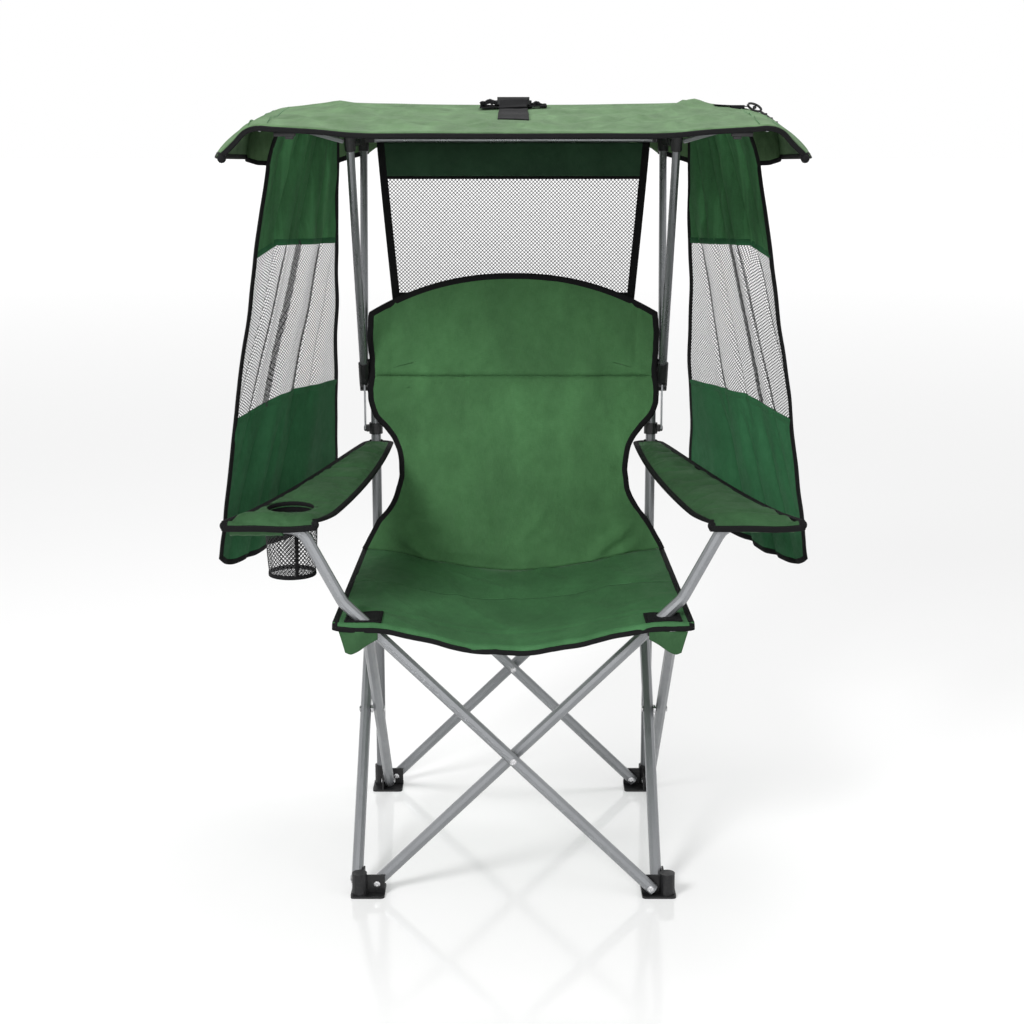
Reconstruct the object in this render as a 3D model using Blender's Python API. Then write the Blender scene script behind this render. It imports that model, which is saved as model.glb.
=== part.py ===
"""Folding camp chair with a sun canopy, built as separate pieces.

Metres, +Z up. The front of the chair faces -Y, and +X is to the right as seen from the front.
The origin is on the ground under the middle of the four feet.
"""

import math

import bmesh
import bpy
import numpy as np
from mathutils import Matrix, Vector

# General
CLEARANCE = 0.0003
SOFT_CLEARANCE = 0.0006
OVERRUN = 0.004

# Leg tubes, four crossed pairs on a square
TUBE_DIAMETER = 0.019
TUBE_WALL = 0.0012
TUBE_END_REACH = 0.008
PIN_SPAN = 0.450
CORNER_REACH = 0.0235
SEAT_PIN_RISE = 0.440
PLATE_THICKNESS = 0.003

# Rivets
PIN_RADIUS = 0.003
PIN_PLAY = 0.0005
HEAD_RADIUS = 0.0055
HEAD_THICKNESS = 0.0016
SPACER_RADIUS = 0.007

# Arm supports, the bent upper ends of the two front tubes
ARM_RISE_START = 0.0636
ARM_RISE_ANGLE = math.radians(62.0)
ARM_BEND_RADIUS = 0.035
ARM_TUBE_RISE = 0.166
ARM_TUBE_REACH = 0.215

# Rear posts
POST_DIAMETER = 0.018
POST_WALL = 0.0012
POST_OFFSET = 0.005
POST_TOP_RISE = 0.227

# Feet
FOOT_INNER_REACH = 0.013
FOOT_OUTER_REACH = 0.0195
FOOT_BASE_HEIGHT = 0.004
FOOT_CORNER_ROUND = 0.006
FOOT_TUBE_GAP = 0.001614
FOOT_PLATE_RISE = 0.016
FOOT_BOSS_WALL = 0.0032
FOOT_BOSS_RISE = 0.022
FOOT_BORE_BOTTOM = 0.008

# Seat corner brackets and the two rear sliders
BRACKET_INNER_REACH = 0.010
BRACKET_DROP = 0.014
BRACKET_RISE = 0.0075
COLLAR_WALL = 0.0035
COLLAR_DROP = 0.018
COLLAR_PLAY = 0.0005

# Canopy frame
CANOPY_PIVOT_RISE = 0.028
LINK_RISE = 0.080
LINK_THICKNESS = 0.003
LINK_WIDTH = 0.012
CLIP_HALF_HEIGHT = 0.010
CLIP_WALL = 0.0032
EAR_HALF_SIZE = 0.006
KNUCKLE_SETBACK = 0.0035
KNUCKLE_HALF_WIDTH = 0.008
KNUCKLE_ROUND = 0.0105
MAST_DIAMETER = 0.014
MAST_WALL = 0.001
MAST_POST_GAP = 0.0005
MAST_SPLIT_WALL = 0.0024
MAST_SOCKET_DEPTH = 0.0195
MAST_SOCKET_WALL = 0.0022
FRONT_MAST_REACH = 0.215
FRONT_MAST_TOP_DROP = 0.0005
REAR_MAST_REACH = 0.070
REAR_MAST_TOP_DROP = 0.0055
RAIL_RISE = 0.4465
RAIL_DEPTH = 0.015
RAIL_HALF_WIDTH = 0.003
RAIL_CAP_DEPTH = 0.022
RAIL_CAP_CROWN = 0.004
RAIL_STUD_RADIUS = 0.0038
RAIL_STUD_REACH = 0.0025
RAIL_STUD_SETBACKS = (0.075, 0.145)
CROSSBAR_DIAMETER = 0.008
CROSSBAR_DROP = 0.007
CROSSBAR_PIN_RADIUS = 0.0018
CROSSBAR_END_REACH = 0.0042
CROSSBAR_LAP = 0.012
LUG_HALF_HEIGHT = 0.0045
LUG_THICKNESS = 0.004
WING_ROD_DIAMETER = 0.008
WING_ROD_INSET = 0.003
WING_ROD_END_INSET = 0.010
WING_ARM_SWEEP = 0.095
WING_ARM_DROP = 0.006

# Canopy cloth
CLOTH_THICKNESS = 0.003
CANOPY_DEPTH = 0.670
CANOPY_FRONT_OVERHANG = 0.1015
CANOPY_REAR_OVERHANG = 0.1475
CANOPY_FRONT_WING = 0.058
CANOPY_REAR_WING = 0.080
CANOPY_FRONT_MIDDLE_RISE = 0.0095
CANOPY_REAR_MIDDLE_RISE = 0.0545
CANOPY_FRONT_BEND_RISE = 0.0205
CANOPY_REAR_BEND_RISE = 0.0495
CANOPY_FRONT_WING_DROP = 0.043
CANOPY_REAR_WING_DROP = 0.090
CURTAIN_TOP_INNER_OFFSET = (0.0335, -0.050)
CURTAIN_TOP_OUTER_INSET = 0.017
CURTAIN_SHOULDER_REACH = 0.008
CURTAIN_SHOULDER_Y = -0.010
CURTAIN_BOTTOM_INNER_OFFSET = (0.0575, 0.008)
CURTAIN_BOTTOM_OUTER_REACH = 0.095
CURTAIN_BOTTOM_OUTER_Y = -0.100
CURTAIN_INNER_LENGTH = 0.6885
CURTAIN_OUTER_LENGTH = 0.7225
CURTAIN_FOLD_DEPTH = 0.011
CURTAIN_FOLDS = 3.5
PANEL_TOP_INSET = 0.0245
PANEL_BOTTOM_INSET = 0.0525
PANEL_BOTTOM_SETBACK = 0.026
PANEL_LENGTH = 0.2855

# Webbing and buckles on the canopy
WEBBING_WIDTH = 0.050
WEBBING_THICKNESS = 0.002
WEBBING_LENGTH = 0.430
WEBBING_REAR_INSET = 0.045
PATCH_WIDTH = 0.120
PATCH_DEPTH = 0.055
BUCKLE_WIDTH = 0.057
BUCKLE_DEPTH = 0.034
BUCKLE_HEIGHT = 0.013
BUCKLE_REAR_INSET = 0.080
BUCKLE_ROUND = 0.004
BUCKLE_SLOT_DEPTH = 0.005
SIDE_STRAP_WIDTH = 0.020
SIDE_STRAP_LENGTH = 0.045
SIDE_STRAP_BEND_INSET = 0.0068
SIDE_STRAP_REAR_INSET = 0.120
LADDER_WIDTH = 0.026
LADDER_LENGTH = 0.024
LADDER_HEIGHT = 0.006

# Seat and back cloth
SEAT_SIDE_REACH = 0.061
SEAT_REAR_SIDE_REACH = 0.054
SEAT_FRONT_REACH = 0.052
SEAT_FRONT_BOW = 0.006
SEAT_SPLIT_Y = -0.020
SEAT_REAR_MIDDLE_INSET = 0.055
SEAT_REAR_CORNER_REACH = 0.003
SEAT_FRONT_SAG = 0.041
SEAT_REAR_SAG = 0.026
SEAT_HOLE_PLAY = 0.0006
BACK_SIDE_REACH = 0.0105
BACK_CORNER_RISE = 0.015
BACK_ARCH_RISE = 0.070
BACK_SEAM_INSET = 0.005
BACK_HOLLOW = 0.012

# Arm rests
ARM_THICKNESS = 0.006
ARM_REAR_REACH = 0.0145
ARM_REAR_RISE = 0.044
ARM_FRONT_REACH = 0.0147
ARM_INNER_REAR_INSET = 0.030
ARM_INNER_TAPER = 0.010
ARM_INNER_BOW = 0.062
ARM_INNER_FLARE = 0.012
ARM_OUTER_REAR_REACH = 0.0225
ARM_OUTER_TAPER = 0.145
ARM_OUTER_FLARE = 0.034
ARM_POST_PLAY = 0.0006
SLEEVE_WALL = 0.0022
SLEEVE_START_GAP = 0.0047
SLEEVE_END_REACH = 0.006
SLEEVE_END_WALL = 0.0025
CUP_INSET = 0.083
CUP_TUBE_GAP = 0.0083
CUP_TOP_RADIUS = 0.043
CUP_BOTTOM_RADIUS = 0.038
CUP_WALL = 0.0025
CUP_DROP = 0.1051
CUP_HOLE_INSET = 0.005

# Shares and counts
BACK_OUTLINE_SHARES = (
    (0.00, 1.058),
    (0.077, 0.989),
    (0.125, 0.943),
    (0.17, 0.881),
    (0.222, 0.833),
    (0.27, 0.807),
    (0.32, 0.795),
    (0.42, 0.805),
    (0.468, 0.835),
    (0.516, 0.894),
    (0.56, 0.958),
    (0.615, 0.994),
    (0.76, 0.990),
    (0.94, 0.998),
    (1.00, 0.988),
)
CANOPY_ACROSS_SHARES = (0.0, 0.28, 0.56, 0.80, 0.93, 1.0, 1.06, 1.12, 1.20)
ARM_ALONG_SHARES = (0.0, 0.2, 0.4, 0.6, 0.72, 0.8, 0.86, 0.91, 0.955, 0.985, 1.0)
CURTAIN_SHOULDER_SHARE = 0.085
WING_ARM_SEAT_SHARE = 0.75
TUBE_SIDES = 10
PIN_SIDES = 8
ROUND_SIDES = 16
HEAD_CROWN_SHARE = 0.6
SMOOTH_ANGLE = math.radians(40.0)
QUARTER = math.radians(90.0)

# Worked out from the sizes above
TUBE_RADIUS = TUBE_DIAMETER / 2
POST_RADIUS = POST_DIAMETER / 2
MAST_RADIUS = MAST_DIAMETER / 2
CROSSBAR_RADIUS = CROSSBAR_DIAMETER / 2
WING_ROD_RADIUS = WING_ROD_DIAMETER / 2

PIN_HALF = PIN_SPAN / 2
SIDE_PLANE = PIN_HALF + CORNER_REACH
TUBE_OFFSET = TUBE_RADIUS + PLATE_THICKNESS / 2 + CLEARANCE
SIDE_TO_FACE = TUBE_OFFSET + TUBE_RADIUS
OUTER_PLANE = SIDE_PLANE + TUBE_OFFSET
INNER_PLANE = SIDE_PLANE - TUBE_OFFSET
TUBE_LENGTH = math.hypot(PIN_SPAN, SEAT_PIN_RISE)
ALONG_ACROSS = PIN_SPAN / TUBE_LENGTH
ALONG_UP = SEAT_PIN_RISE / TUBE_LENGTH
TUBE_END_DEPTH = TUBE_END_REACH * ALONG_UP + TUBE_RADIUS * ALONG_ACROSS
FOOT_PIN_HEIGHT = FOOT_BASE_HEIGHT + FOOT_TUBE_GAP + TUBE_END_DEPTH
SEAT_PIN_HEIGHT = FOOT_PIN_HEIGHT + SEAT_PIN_RISE
CROSS_HEIGHT = FOOT_PIN_HEIGHT + SEAT_PIN_RISE / 2

POST_PLACE = SIDE_PLANE + POST_OFFSET
FOOT_PLATE_TOP = FOOT_PIN_HEIGHT + FOOT_PLATE_RISE
FOOT_BOSS_TOP = FOOT_PIN_HEIGHT + FOOT_BOSS_RISE
FOOT_BOSS_RADIUS = POST_RADIUS + CLEARANCE + FOOT_BOSS_WALL
BRACKET_BOTTOM = SEAT_PIN_HEIGHT - BRACKET_DROP
BRACKET_TOP = SEAT_PIN_HEIGHT + BRACKET_RISE
COLLAR_BOTTOM = SEAT_PIN_HEIGHT - COLLAR_DROP
COLLAR_RADIUS = POST_RADIUS + COLLAR_PLAY + COLLAR_WALL

ARM_TUBE_HEIGHT = SEAT_PIN_HEIGHT + ARM_TUBE_RISE
ARM_TUBE_END_X = PIN_HALF + ARM_TUBE_REACH
ARM_RISE_X = PIN_HALF + ARM_RISE_START * ALONG_ACROSS
ARM_RISE_Z = SEAT_PIN_HEIGHT + ARM_RISE_START * ALONG_UP
ARM_TURN_X = ARM_RISE_X + (ARM_TUBE_HEIGHT - ARM_RISE_Z) / math.tan(ARM_RISE_ANGLE)
ARM_TURN_END_X = ARM_TURN_X + ARM_BEND_RADIUS * math.tan(ARM_RISE_ANGLE / 2)
ARM_FRONT_Z = ARM_TUBE_HEIGHT + TUBE_RADIUS + SOFT_CLEARANCE + ARM_THICKNESS / 2
ARM_REAR_Z = ARM_TUBE_HEIGHT + ARM_REAR_RISE
ARM_REAR_Y = POST_PLACE + ARM_REAR_REACH
ARM_FRONT_Y = -OUTER_PLANE - ARM_FRONT_REACH
ARM_INNER_REAR = POST_PLACE - ARM_INNER_REAR_INSET
ARM_OUTER_REAR = POST_PLACE + ARM_OUTER_REAR_REACH
SLEEVE_INNER_X = ARM_TURN_END_X + SLEEVE_START_GAP
SLEEVE_OUTER_X = ARM_TUBE_END_X + SLEEVE_END_REACH
CUP_X = ARM_TUBE_END_X - CUP_INSET
CUP_Y = CUP_TOP_RADIUS + CUP_TUBE_GAP + TUBE_RADIUS - OUTER_PLANE
CUP_BOTTOM_Z = ARM_FRONT_Z - CUP_DROP
CUP_HOLE_RADIUS = CUP_TOP_RADIUS - CUP_HOLE_INSET

SEAT_UNDERSIDE = SEAT_PIN_HEIGHT + TUBE_END_DEPTH + CLEARANCE
SEAT_LEVEL = SEAT_UNDERSIDE + CLOTH_THICKNESS / 2
SEAT_HALF_WIDTH = PIN_HALF + SEAT_SIDE_REACH
SEAT_REAR_HALF_WIDTH = PIN_HALF + SEAT_REAR_SIDE_REACH
SEAT_SAG_HALF_WIDTH = PIN_HALF
SEAT_FRONT_Y = -PIN_HALF - SEAT_FRONT_REACH
SEAT_REAR_MIDDLE_Y = PIN_HALF - SEAT_REAR_MIDDLE_INSET
SEAT_REAR_CORNER_Y = PIN_HALF + SEAT_REAR_CORNER_REACH
POST_TOP = ARM_REAR_Z + POST_TOP_RISE
BACK_HALF_WIDTH = POST_PLACE + BACK_SIDE_REACH
BACK_CORNER_Z = POST_TOP + BACK_CORNER_RISE
BACK_ARCH_Z = BACK_CORNER_Z + BACK_ARCH_RISE

CAP_RADIUS = MAST_RADIUS + CLEARANCE + MAST_SOCKET_WALL
MAST_PLACE = POST_PLACE + POST_RADIUS + MAST_POST_GAP + CAP_RADIUS
CANOPY_PIVOT_Z = ARM_REAR_Z + CANOPY_PIVOT_RISE
KNUCKLE_Y = POST_PLACE - KNUCKLE_SETBACK
KNUCKLE_Z = CANOPY_PIVOT_Z + LINK_RISE
RAIL_TOP = KNUCKLE_Z + RAIL_RISE
RAIL_BOTTOM = RAIL_TOP - RAIL_DEPTH
FRONT_MAST_TOP_Y = KNUCKLE_Y - FRONT_MAST_REACH
FRONT_MAST_TOP_Z = RAIL_TOP - FRONT_MAST_TOP_DROP
REAR_MAST_TOP_Y = KNUCKLE_Y + REAR_MAST_REACH
REAR_MAST_TOP_Z = RAIL_TOP - REAR_MAST_TOP_DROP
FRONT_MAST_LEAN = math.atan2(FRONT_MAST_REACH, FRONT_MAST_TOP_Z - KNUCKLE_Z)
REAR_MAST_LEAN = math.atan2(REAR_MAST_REACH, REAR_MAST_TOP_Z - KNUCKLE_Z)
MAST_HALF_SPLIT = (FRONT_MAST_LEAN + REAR_MAST_LEAN) / 2
MAST_START = (MAST_RADIUS + CLEARANCE + MAST_SPLIT_WALL / 2) / math.sin(MAST_HALF_SPLIT)
MAST_SOCKET_END = MAST_START + MAST_SOCKET_DEPTH
CROSSBAR_HEIGHT = RAIL_TOP - CROSSBAR_DROP
CROSSBAR_PIVOT_X = MAST_PLACE - CAP_RADIUS - CROSSBAR_END_REACH * math.sqrt(2) - CLEARANCE
WING_ARM_HEIGHT = RAIL_TOP - WING_ARM_DROP
WING_ARM_REAR_Y = FRONT_MAST_TOP_Y
WING_ARM_FRONT_Y = WING_ARM_REAR_Y - WING_ARM_SWEEP

CANOPY_HALF_DEPTH = CANOPY_DEPTH / 2
CANOPY_FRONT_BEND = MAST_PLACE + CANOPY_FRONT_OVERHANG
CANOPY_REAR_BEND = MAST_PLACE + CANOPY_REAR_OVERHANG
CANOPY_FRONT_HALF = CANOPY_FRONT_BEND + CANOPY_FRONT_WING
CANOPY_REAR_HALF = CANOPY_REAR_BEND + CANOPY_REAR_WING
CANOPY_FRONT_MIDDLE_Z = RAIL_TOP + CANOPY_FRONT_MIDDLE_RISE
CANOPY_REAR_MIDDLE_Z = RAIL_TOP + CANOPY_REAR_MIDDLE_RISE
CANOPY_FRONT_BEND_Z = RAIL_TOP + CANOPY_FRONT_BEND_RISE
CANOPY_REAR_BEND_Z = RAIL_TOP + CANOPY_REAR_BEND_RISE
CANOPY_FRONT_TIP_Z = CANOPY_FRONT_BEND_Z - CANOPY_FRONT_WING_DROP
CANOPY_REAR_TIP_Z = CANOPY_REAR_BEND_Z - CANOPY_REAR_WING_DROP
CANOPY_MIDDLE_BEND = (CANOPY_FRONT_BEND + CANOPY_REAR_BEND) / 2
CURTAIN_TOP_INNER = (MAST_PLACE + CURTAIN_TOP_INNER_OFFSET[0], KNUCKLE_Y + CURTAIN_TOP_INNER_OFFSET[1])
CURTAIN_TOP_OUTER = (CANOPY_MIDDLE_BEND - CURTAIN_TOP_OUTER_INSET, 0.0)
CURTAIN_SHOULDER_OUTER = (CANOPY_MIDDLE_BEND + CURTAIN_SHOULDER_REACH, CURTAIN_SHOULDER_Y)
CURTAIN_BOTTOM_INNER = (
    MAST_PLACE + CURTAIN_BOTTOM_INNER_OFFSET[0],
    KNUCKLE_Y + CURTAIN_BOTTOM_INNER_OFFSET[1],
)
CURTAIN_BOTTOM_OUTER = (CANOPY_MIDDLE_BEND + CURTAIN_BOTTOM_OUTER_REACH, CURTAIN_BOTTOM_OUTER_Y)
CURTAIN_INNER_BOTTOM_Z = RAIL_TOP - CURTAIN_INNER_LENGTH
CURTAIN_OUTER_BOTTOM_Z = RAIL_TOP - CURTAIN_OUTER_LENGTH
PANEL_TOP_HALF = MAST_PLACE - PANEL_TOP_INSET
PANEL_BOTTOM_HALF = MAST_PLACE - PANEL_BOTTOM_INSET
PANEL_BOTTOM_Y = KNUCKLE_Y + PANEL_BOTTOM_SETBACK
PANEL_BOTTOM_Z = CROSSBAR_HEIGHT - PANEL_LENGTH

WEBBING_REAR_Y = CANOPY_HALF_DEPTH - WEBBING_REAR_INSET
WEBBING_FRONT_Y = WEBBING_REAR_Y - WEBBING_LENGTH
PATCH_FRONT_Y = WEBBING_REAR_Y - PATCH_DEPTH
BUCKLE_Y = CANOPY_HALF_DEPTH - BUCKLE_REAR_INSET
SIDE_STRAP_Y = CANOPY_HALF_DEPTH - SIDE_STRAP_REAR_INSET
SIDE_STRAP_SHARE = 1 - SIDE_STRAP_REAR_INSET / CANOPY_DEPTH
SIDE_STRAP_BEND = CANOPY_FRONT_BEND + (CANOPY_REAR_BEND - CANOPY_FRONT_BEND) * SIDE_STRAP_SHARE
SIDE_STRAP_OUTER_X = SIDE_STRAP_BEND - SIDE_STRAP_BEND_INSET
SIDE_STRAP_INNER_X = SIDE_STRAP_OUTER_X - SIDE_STRAP_LENGTH


def clear_scene():
    for obj in list(bpy.data.objects):
        bpy.data.objects.remove(obj, do_unlink=True)


def material(name, colour, roughness, metallic=0.0):
    made = bpy.data.materials.new(name)
    made.use_nodes = True
    shader = made.node_tree.nodes["Principled BSDF"]
    shader.inputs["Base Color"].default_value = (*colour, 1.0)
    shader.inputs["Roughness"].default_value = roughness
    shader.inputs["Metallic"].default_value = metallic
    made.diffuse_color = (*colour, 1.0)
    return made


def steel(name):
    return material(name, (0.36, 0.37, 0.38), 0.38, 0.75)


def rivet_steel(name):
    return material(name, (0.62, 0.62, 0.62), 0.28, 0.9)


def black_moulding(name):
    return material(name, (0.012, 0.012, 0.013), 0.45)


def green_cloth(name):
    return material(name, (0.045, 0.125, 0.055), 0.85)


def mesh_net(name):
    return material(name, (0.02, 0.02, 0.022), 0.8)


def black_webbing(name):
    return material(name, (0.01, 0.01, 0.011), 0.75)


# Mesh makers


def mesh_of(vertices, faces):
    """A closed mesh with its faces turned outwards."""
    shape = bmesh.new()
    made = [shape.verts.new(vertex) for vertex in vertices]
    for face in faces:
        shape.faces.new([made[index] for index in face])
    bmesh.ops.recalc_face_normals(shape, faces=shape.faces)
    mesh = bpy.data.meshes.new("shape")
    shape.to_mesh(mesh)
    shape.free()
    return mesh


def bridged(rings, closed_loop):
    """Rings of points joined one to the next, with flat caps or, for a pipe, joined last to first."""
    sides = len(rings[0])
    vertices = [point for ring in rings for point in ring]
    faces = []
    steps = len(rings) if closed_loop else len(rings) - 1
    for step in range(steps):
        here = step * sides
        there = ((step + 1) % len(rings)) * sides
        for side in range(sides):
            after = (side + 1) % sides
            faces.append((here + side, here + after, there + after, there + side))
    if not closed_loop:
        faces.append(tuple(range(sides - 1, -1, -1)))
        faces.append(tuple(range((len(rings) - 1) * sides, len(rings) * sides)))
    return mesh_of(vertices, faces)


def axis_frame(direction):
    along = Vector(direction).normalized()
    helper = Vector((0, 0, 1)) if abs(along.z) < 0.9 else Vector((0, 1, 0))
    across = along.cross(helper).normalized()
    return along, across, along.cross(across)


def turned(start, direction, profile, sides):
    """A solid turned about a line: the profile lists distances along it with radii."""
    along, across, up = axis_frame(direction)
    rings = []
    for distance, radius in profile:
        centre = Vector(start) + along * distance
        ring = []
        for side in range(sides):
            angle = 2 * math.pi * (side + 0.5) / sides
            ring.append(centre + across * (radius * math.cos(angle)) + up * (radius * math.sin(angle)))
        rings.append(ring)
    return bridged(rings, False)


def rod(start, end, radius, sides=ROUND_SIDES):
    length = (Vector(end) - Vector(start)).length
    return turned(start, Vector(end) - Vector(start), ((0, radius), (length, radius)), sides)


def box(low, high):
    (x0, y0, z0), (x1, y1, z1) = low, high
    bottom = [Vector((x0, y0, z0)), Vector((x1, y0, z0)), Vector((x1, y1, z0)), Vector((x0, y1, z0))]
    top = [Vector((x0, y0, z1)), Vector((x1, y0, z1)), Vector((x1, y1, z1)), Vector((x0, y1, z1))]
    return bridged([bottom, top], False)


def rounded_box(low, high, rounding, segments=3):
    """A box with its upright edges rounded."""
    mesh = box(low, high)
    shape = bmesh.new()
    shape.from_mesh(mesh)
    upright = [e for e in shape.edges if abs((e.verts[0].co - e.verts[1].co).normalized().z) > 0.9]
    bmesh.ops.bevel(shape, geom=upright, offset=rounding, segments=segments, profile=0.5, affect="EDGES")
    shape.to_mesh(mesh)
    shape.free()
    return mesh


def pipe(points, radius, wall, binormal, sides=TUBE_SIDES):
    """An open-ended pipe along a flat path whose plane is square to the binormal."""
    across = Vector(binormal).normalized()
    path = [Vector(point) for point in points]
    outer, inner = [], []
    for index, point in enumerate(path):
        before = path[max(index - 1, 0)]
        after = path[min(index + 1, len(path) - 1)]
        out = (after - before).normalized().cross(across)
        for ring_list, ring_radius in ((outer, radius), (inner, radius - wall)):
            ring = []
            for side in range(sides):
                angle = 2 * math.pi * (side + 0.5) / sides
                offset = out * math.cos(angle) + across * math.sin(angle)
                ring.append(point + offset * ring_radius)
            ring_list.append(ring)
    return bridged(outer + inner[::-1], True)


def bent_path(corners, radius, turn_per_step=math.radians(16.0)):
    """The corner points with each inner corner replaced by an arc."""
    path = [Vector(corners[0])]
    for before, corner, after in zip(corners, corners[1:], corners[2:]):
        back = (Vector(before) - Vector(corner)).normalized()
        ahead = (Vector(after) - Vector(corner)).normalized()
        turn = math.pi - back.angle(ahead)
        reach = radius * math.tan(turn / 2)
        middle = (back + ahead).normalized()
        centre = Vector(corner) + middle * (radius / math.cos(turn / 2))
        first = Vector(corner) + back * reach - centre
        axis = (-back).cross(ahead).normalized()
        steps = max(2, math.ceil(turn / turn_per_step))
        for step in range(steps + 1):
            path.append(centre + Matrix.Rotation(turn * step / steps, 3, axis) @ first)
    path.append(Vector(corners[-1]))
    return path


def sheet(point_at, across, along, thickness):
    """A closed sheet: point_at gives its middle surface, and it is thickened along the surface's normal."""
    grid = np.array([[point_at(u, v) for u in across] for v in along])
    by_u = np.gradient(grid, axis=1)
    by_v = np.gradient(grid, axis=0)
    normal = np.cross(by_u, by_v)
    normal /= np.linalg.norm(normal, axis=2, keepdims=True)
    rows, columns = len(along), len(across)
    half = normal * thickness / 2
    vertices = [*(grid + half).reshape(-1, 3), *(grid - half).reshape(-1, 3)]
    under = rows * columns
    faces = []
    for row in range(rows - 1):
        for column in range(columns - 1):
            a = row * columns + column
            b, c, d = a + 1, a + columns + 1, a + columns
            faces.append((a, b, c, d))
            faces.append((under + d, under + c, under + b, under + a))
    rim = [column for column in range(columns)]
    rim += [row * columns + columns - 1 for row in range(1, rows)]
    rim += [(rows - 1) * columns + column for column in range(columns - 2, -1, -1)]
    rim += [row * columns for row in range(rows - 2, 0, -1)]
    for here, there in zip(rim, rim[1:] + rim[:1]):
        faces.append((here, under + here, under + there, there))
    return mesh_of([tuple(vertex) for vertex in vertices], faces)


def combined(base, added=(), removed=()):
    """The base mesh with other meshes joined on and others cut away."""
    scene = bpy.context.scene.collection
    body = bpy.data.objects.new("body", base)
    scene.objects.link(body)
    helpers = []
    for operation, meshes in (("UNION", added), ("DIFFERENCE", removed)):
        for mesh in meshes:
            helper = bpy.data.objects.new("helper", mesh)
            helper.hide_render = True
            helper.display_type = "WIRE"
            scene.objects.link(helper)
            helpers.append(helper)
            modifier = body.modifiers.new(operation, "BOOLEAN")
            modifier.operation = operation
            modifier.solver = "EXACT"
            modifier.object = helper
    bpy.context.view_layer.update()
    result = bpy.data.meshes.new_from_object(body.evaluated_get(bpy.context.evaluated_depsgraph_get()))
    for obj in (body, *helpers):
        bpy.data.objects.remove(obj, do_unlink=True)
    return result


def place(name, mesh, look, origin=(0, 0, 0), turns=0):
    """The mesh as a named object with its origin on the given point, turned about the upright axis."""
    made = mesh.copy()
    made.name = name
    made.transform(Matrix.Translation(-Vector(origin)))
    made.materials.clear()
    made.materials.append(look)
    made.shade_smooth()
    made.set_sharp_from_angle(angle=SMOOTH_ANGLE)
    obj = bpy.data.objects.new(name, made)
    bpy.context.scene.collection.objects.link(obj)
    turn = Matrix.Rotation(QUARTER * turns, 3, "Z")
    obj.location = turn @ Vector(origin)
    obj.rotation_euler.z = QUARTER * turns
    return obj


def blend(start, end, share):
    return start + (end - start) * share


# Rivets, turned about a line that starts at their first outer face


def riveted(start, direction, span, spacer=None):
    """A rivet through the given span with a crowned head past each end, and a spacer ring if one is given."""
    crown = HEAD_RADIUS * HEAD_CROWN_SHARE
    reach = HEAD_THICKNESS + CLEARANCE
    profile = [(-reach, crown), (-reach / 2 - CLEARANCE / 2, HEAD_RADIUS), (-CLEARANCE, HEAD_RADIUS)]
    profile.append((-CLEARANCE, PIN_RADIUS))
    if spacer:
        low, high = spacer
        profile += [(low, PIN_RADIUS), (low, SPACER_RADIUS), (high, SPACER_RADIUS), (high, PIN_RADIUS)]
    profile.append((span + CLEARANCE, PIN_RADIUS))
    profile += [(span + CLEARANCE, HEAD_RADIUS), (span + reach / 2 + CLEARANCE / 2, HEAD_RADIUS)]
    profile.append((span + reach, crown))
    return turned(start, direction, profile, PIN_SIDES)


def pin_hole(start, end):
    return rod(start, end, PIN_RADIUS + PIN_PLAY, PIN_SIDES)


# Leg tubes: built for the front side, then turned to the other three


def tube_holes(side, plane):
    """Cutters for the foot, crossing and seat pins; the foot is on the given side."""
    holes = []
    for x, z in ((side * PIN_HALF, FOOT_PIN_HEIGHT), (0, CROSS_HEIGHT), (-side * PIN_HALF, SEAT_PIN_HEIGHT)):
        near = (x, -plane - TUBE_RADIUS - OVERRUN, z)
        holes.append(pin_hole(near, (x, -plane + TUBE_RADIUS + OVERRUN, z)))
    return holes


def tube_start(side, plane):
    x = side * (PIN_HALF + TUBE_END_REACH * ALONG_ACROSS)
    return Vector((x, -plane, FOOT_PIN_HEIGHT - TUBE_END_REACH * ALONG_UP))


def straight_tube(side, plane):
    x = -side * (PIN_HALF + TUBE_END_REACH * ALONG_ACROSS)
    end = Vector((x, -plane, SEAT_PIN_HEIGHT + TUBE_END_REACH * ALONG_UP))
    whole = pipe([tube_start(side, plane), end], TUBE_RADIUS, TUBE_WALL, (0, 1, 0))
    return combined(whole, removed=tube_holes(side, plane))


def arm_tube(side, plane):
    """A front tube that runs on past the seat pin, rises and turns outwards under the arm rest."""
    corners = [
        tube_start(side, plane),
        Vector((-side * ARM_RISE_X, -plane, ARM_RISE_Z)),
        Vector((-side * ARM_TURN_X, -plane, ARM_TUBE_HEIGHT)),
        Vector((-side * ARM_TUBE_END_X, -plane, ARM_TUBE_HEIGHT)),
    ]
    whole = pipe(bent_path(corners, ARM_BEND_RADIUS), TUBE_RADIUS, TUBE_WALL, (0, 1, 0))
    return combined(whole, removed=tube_holes(side, plane))


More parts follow.
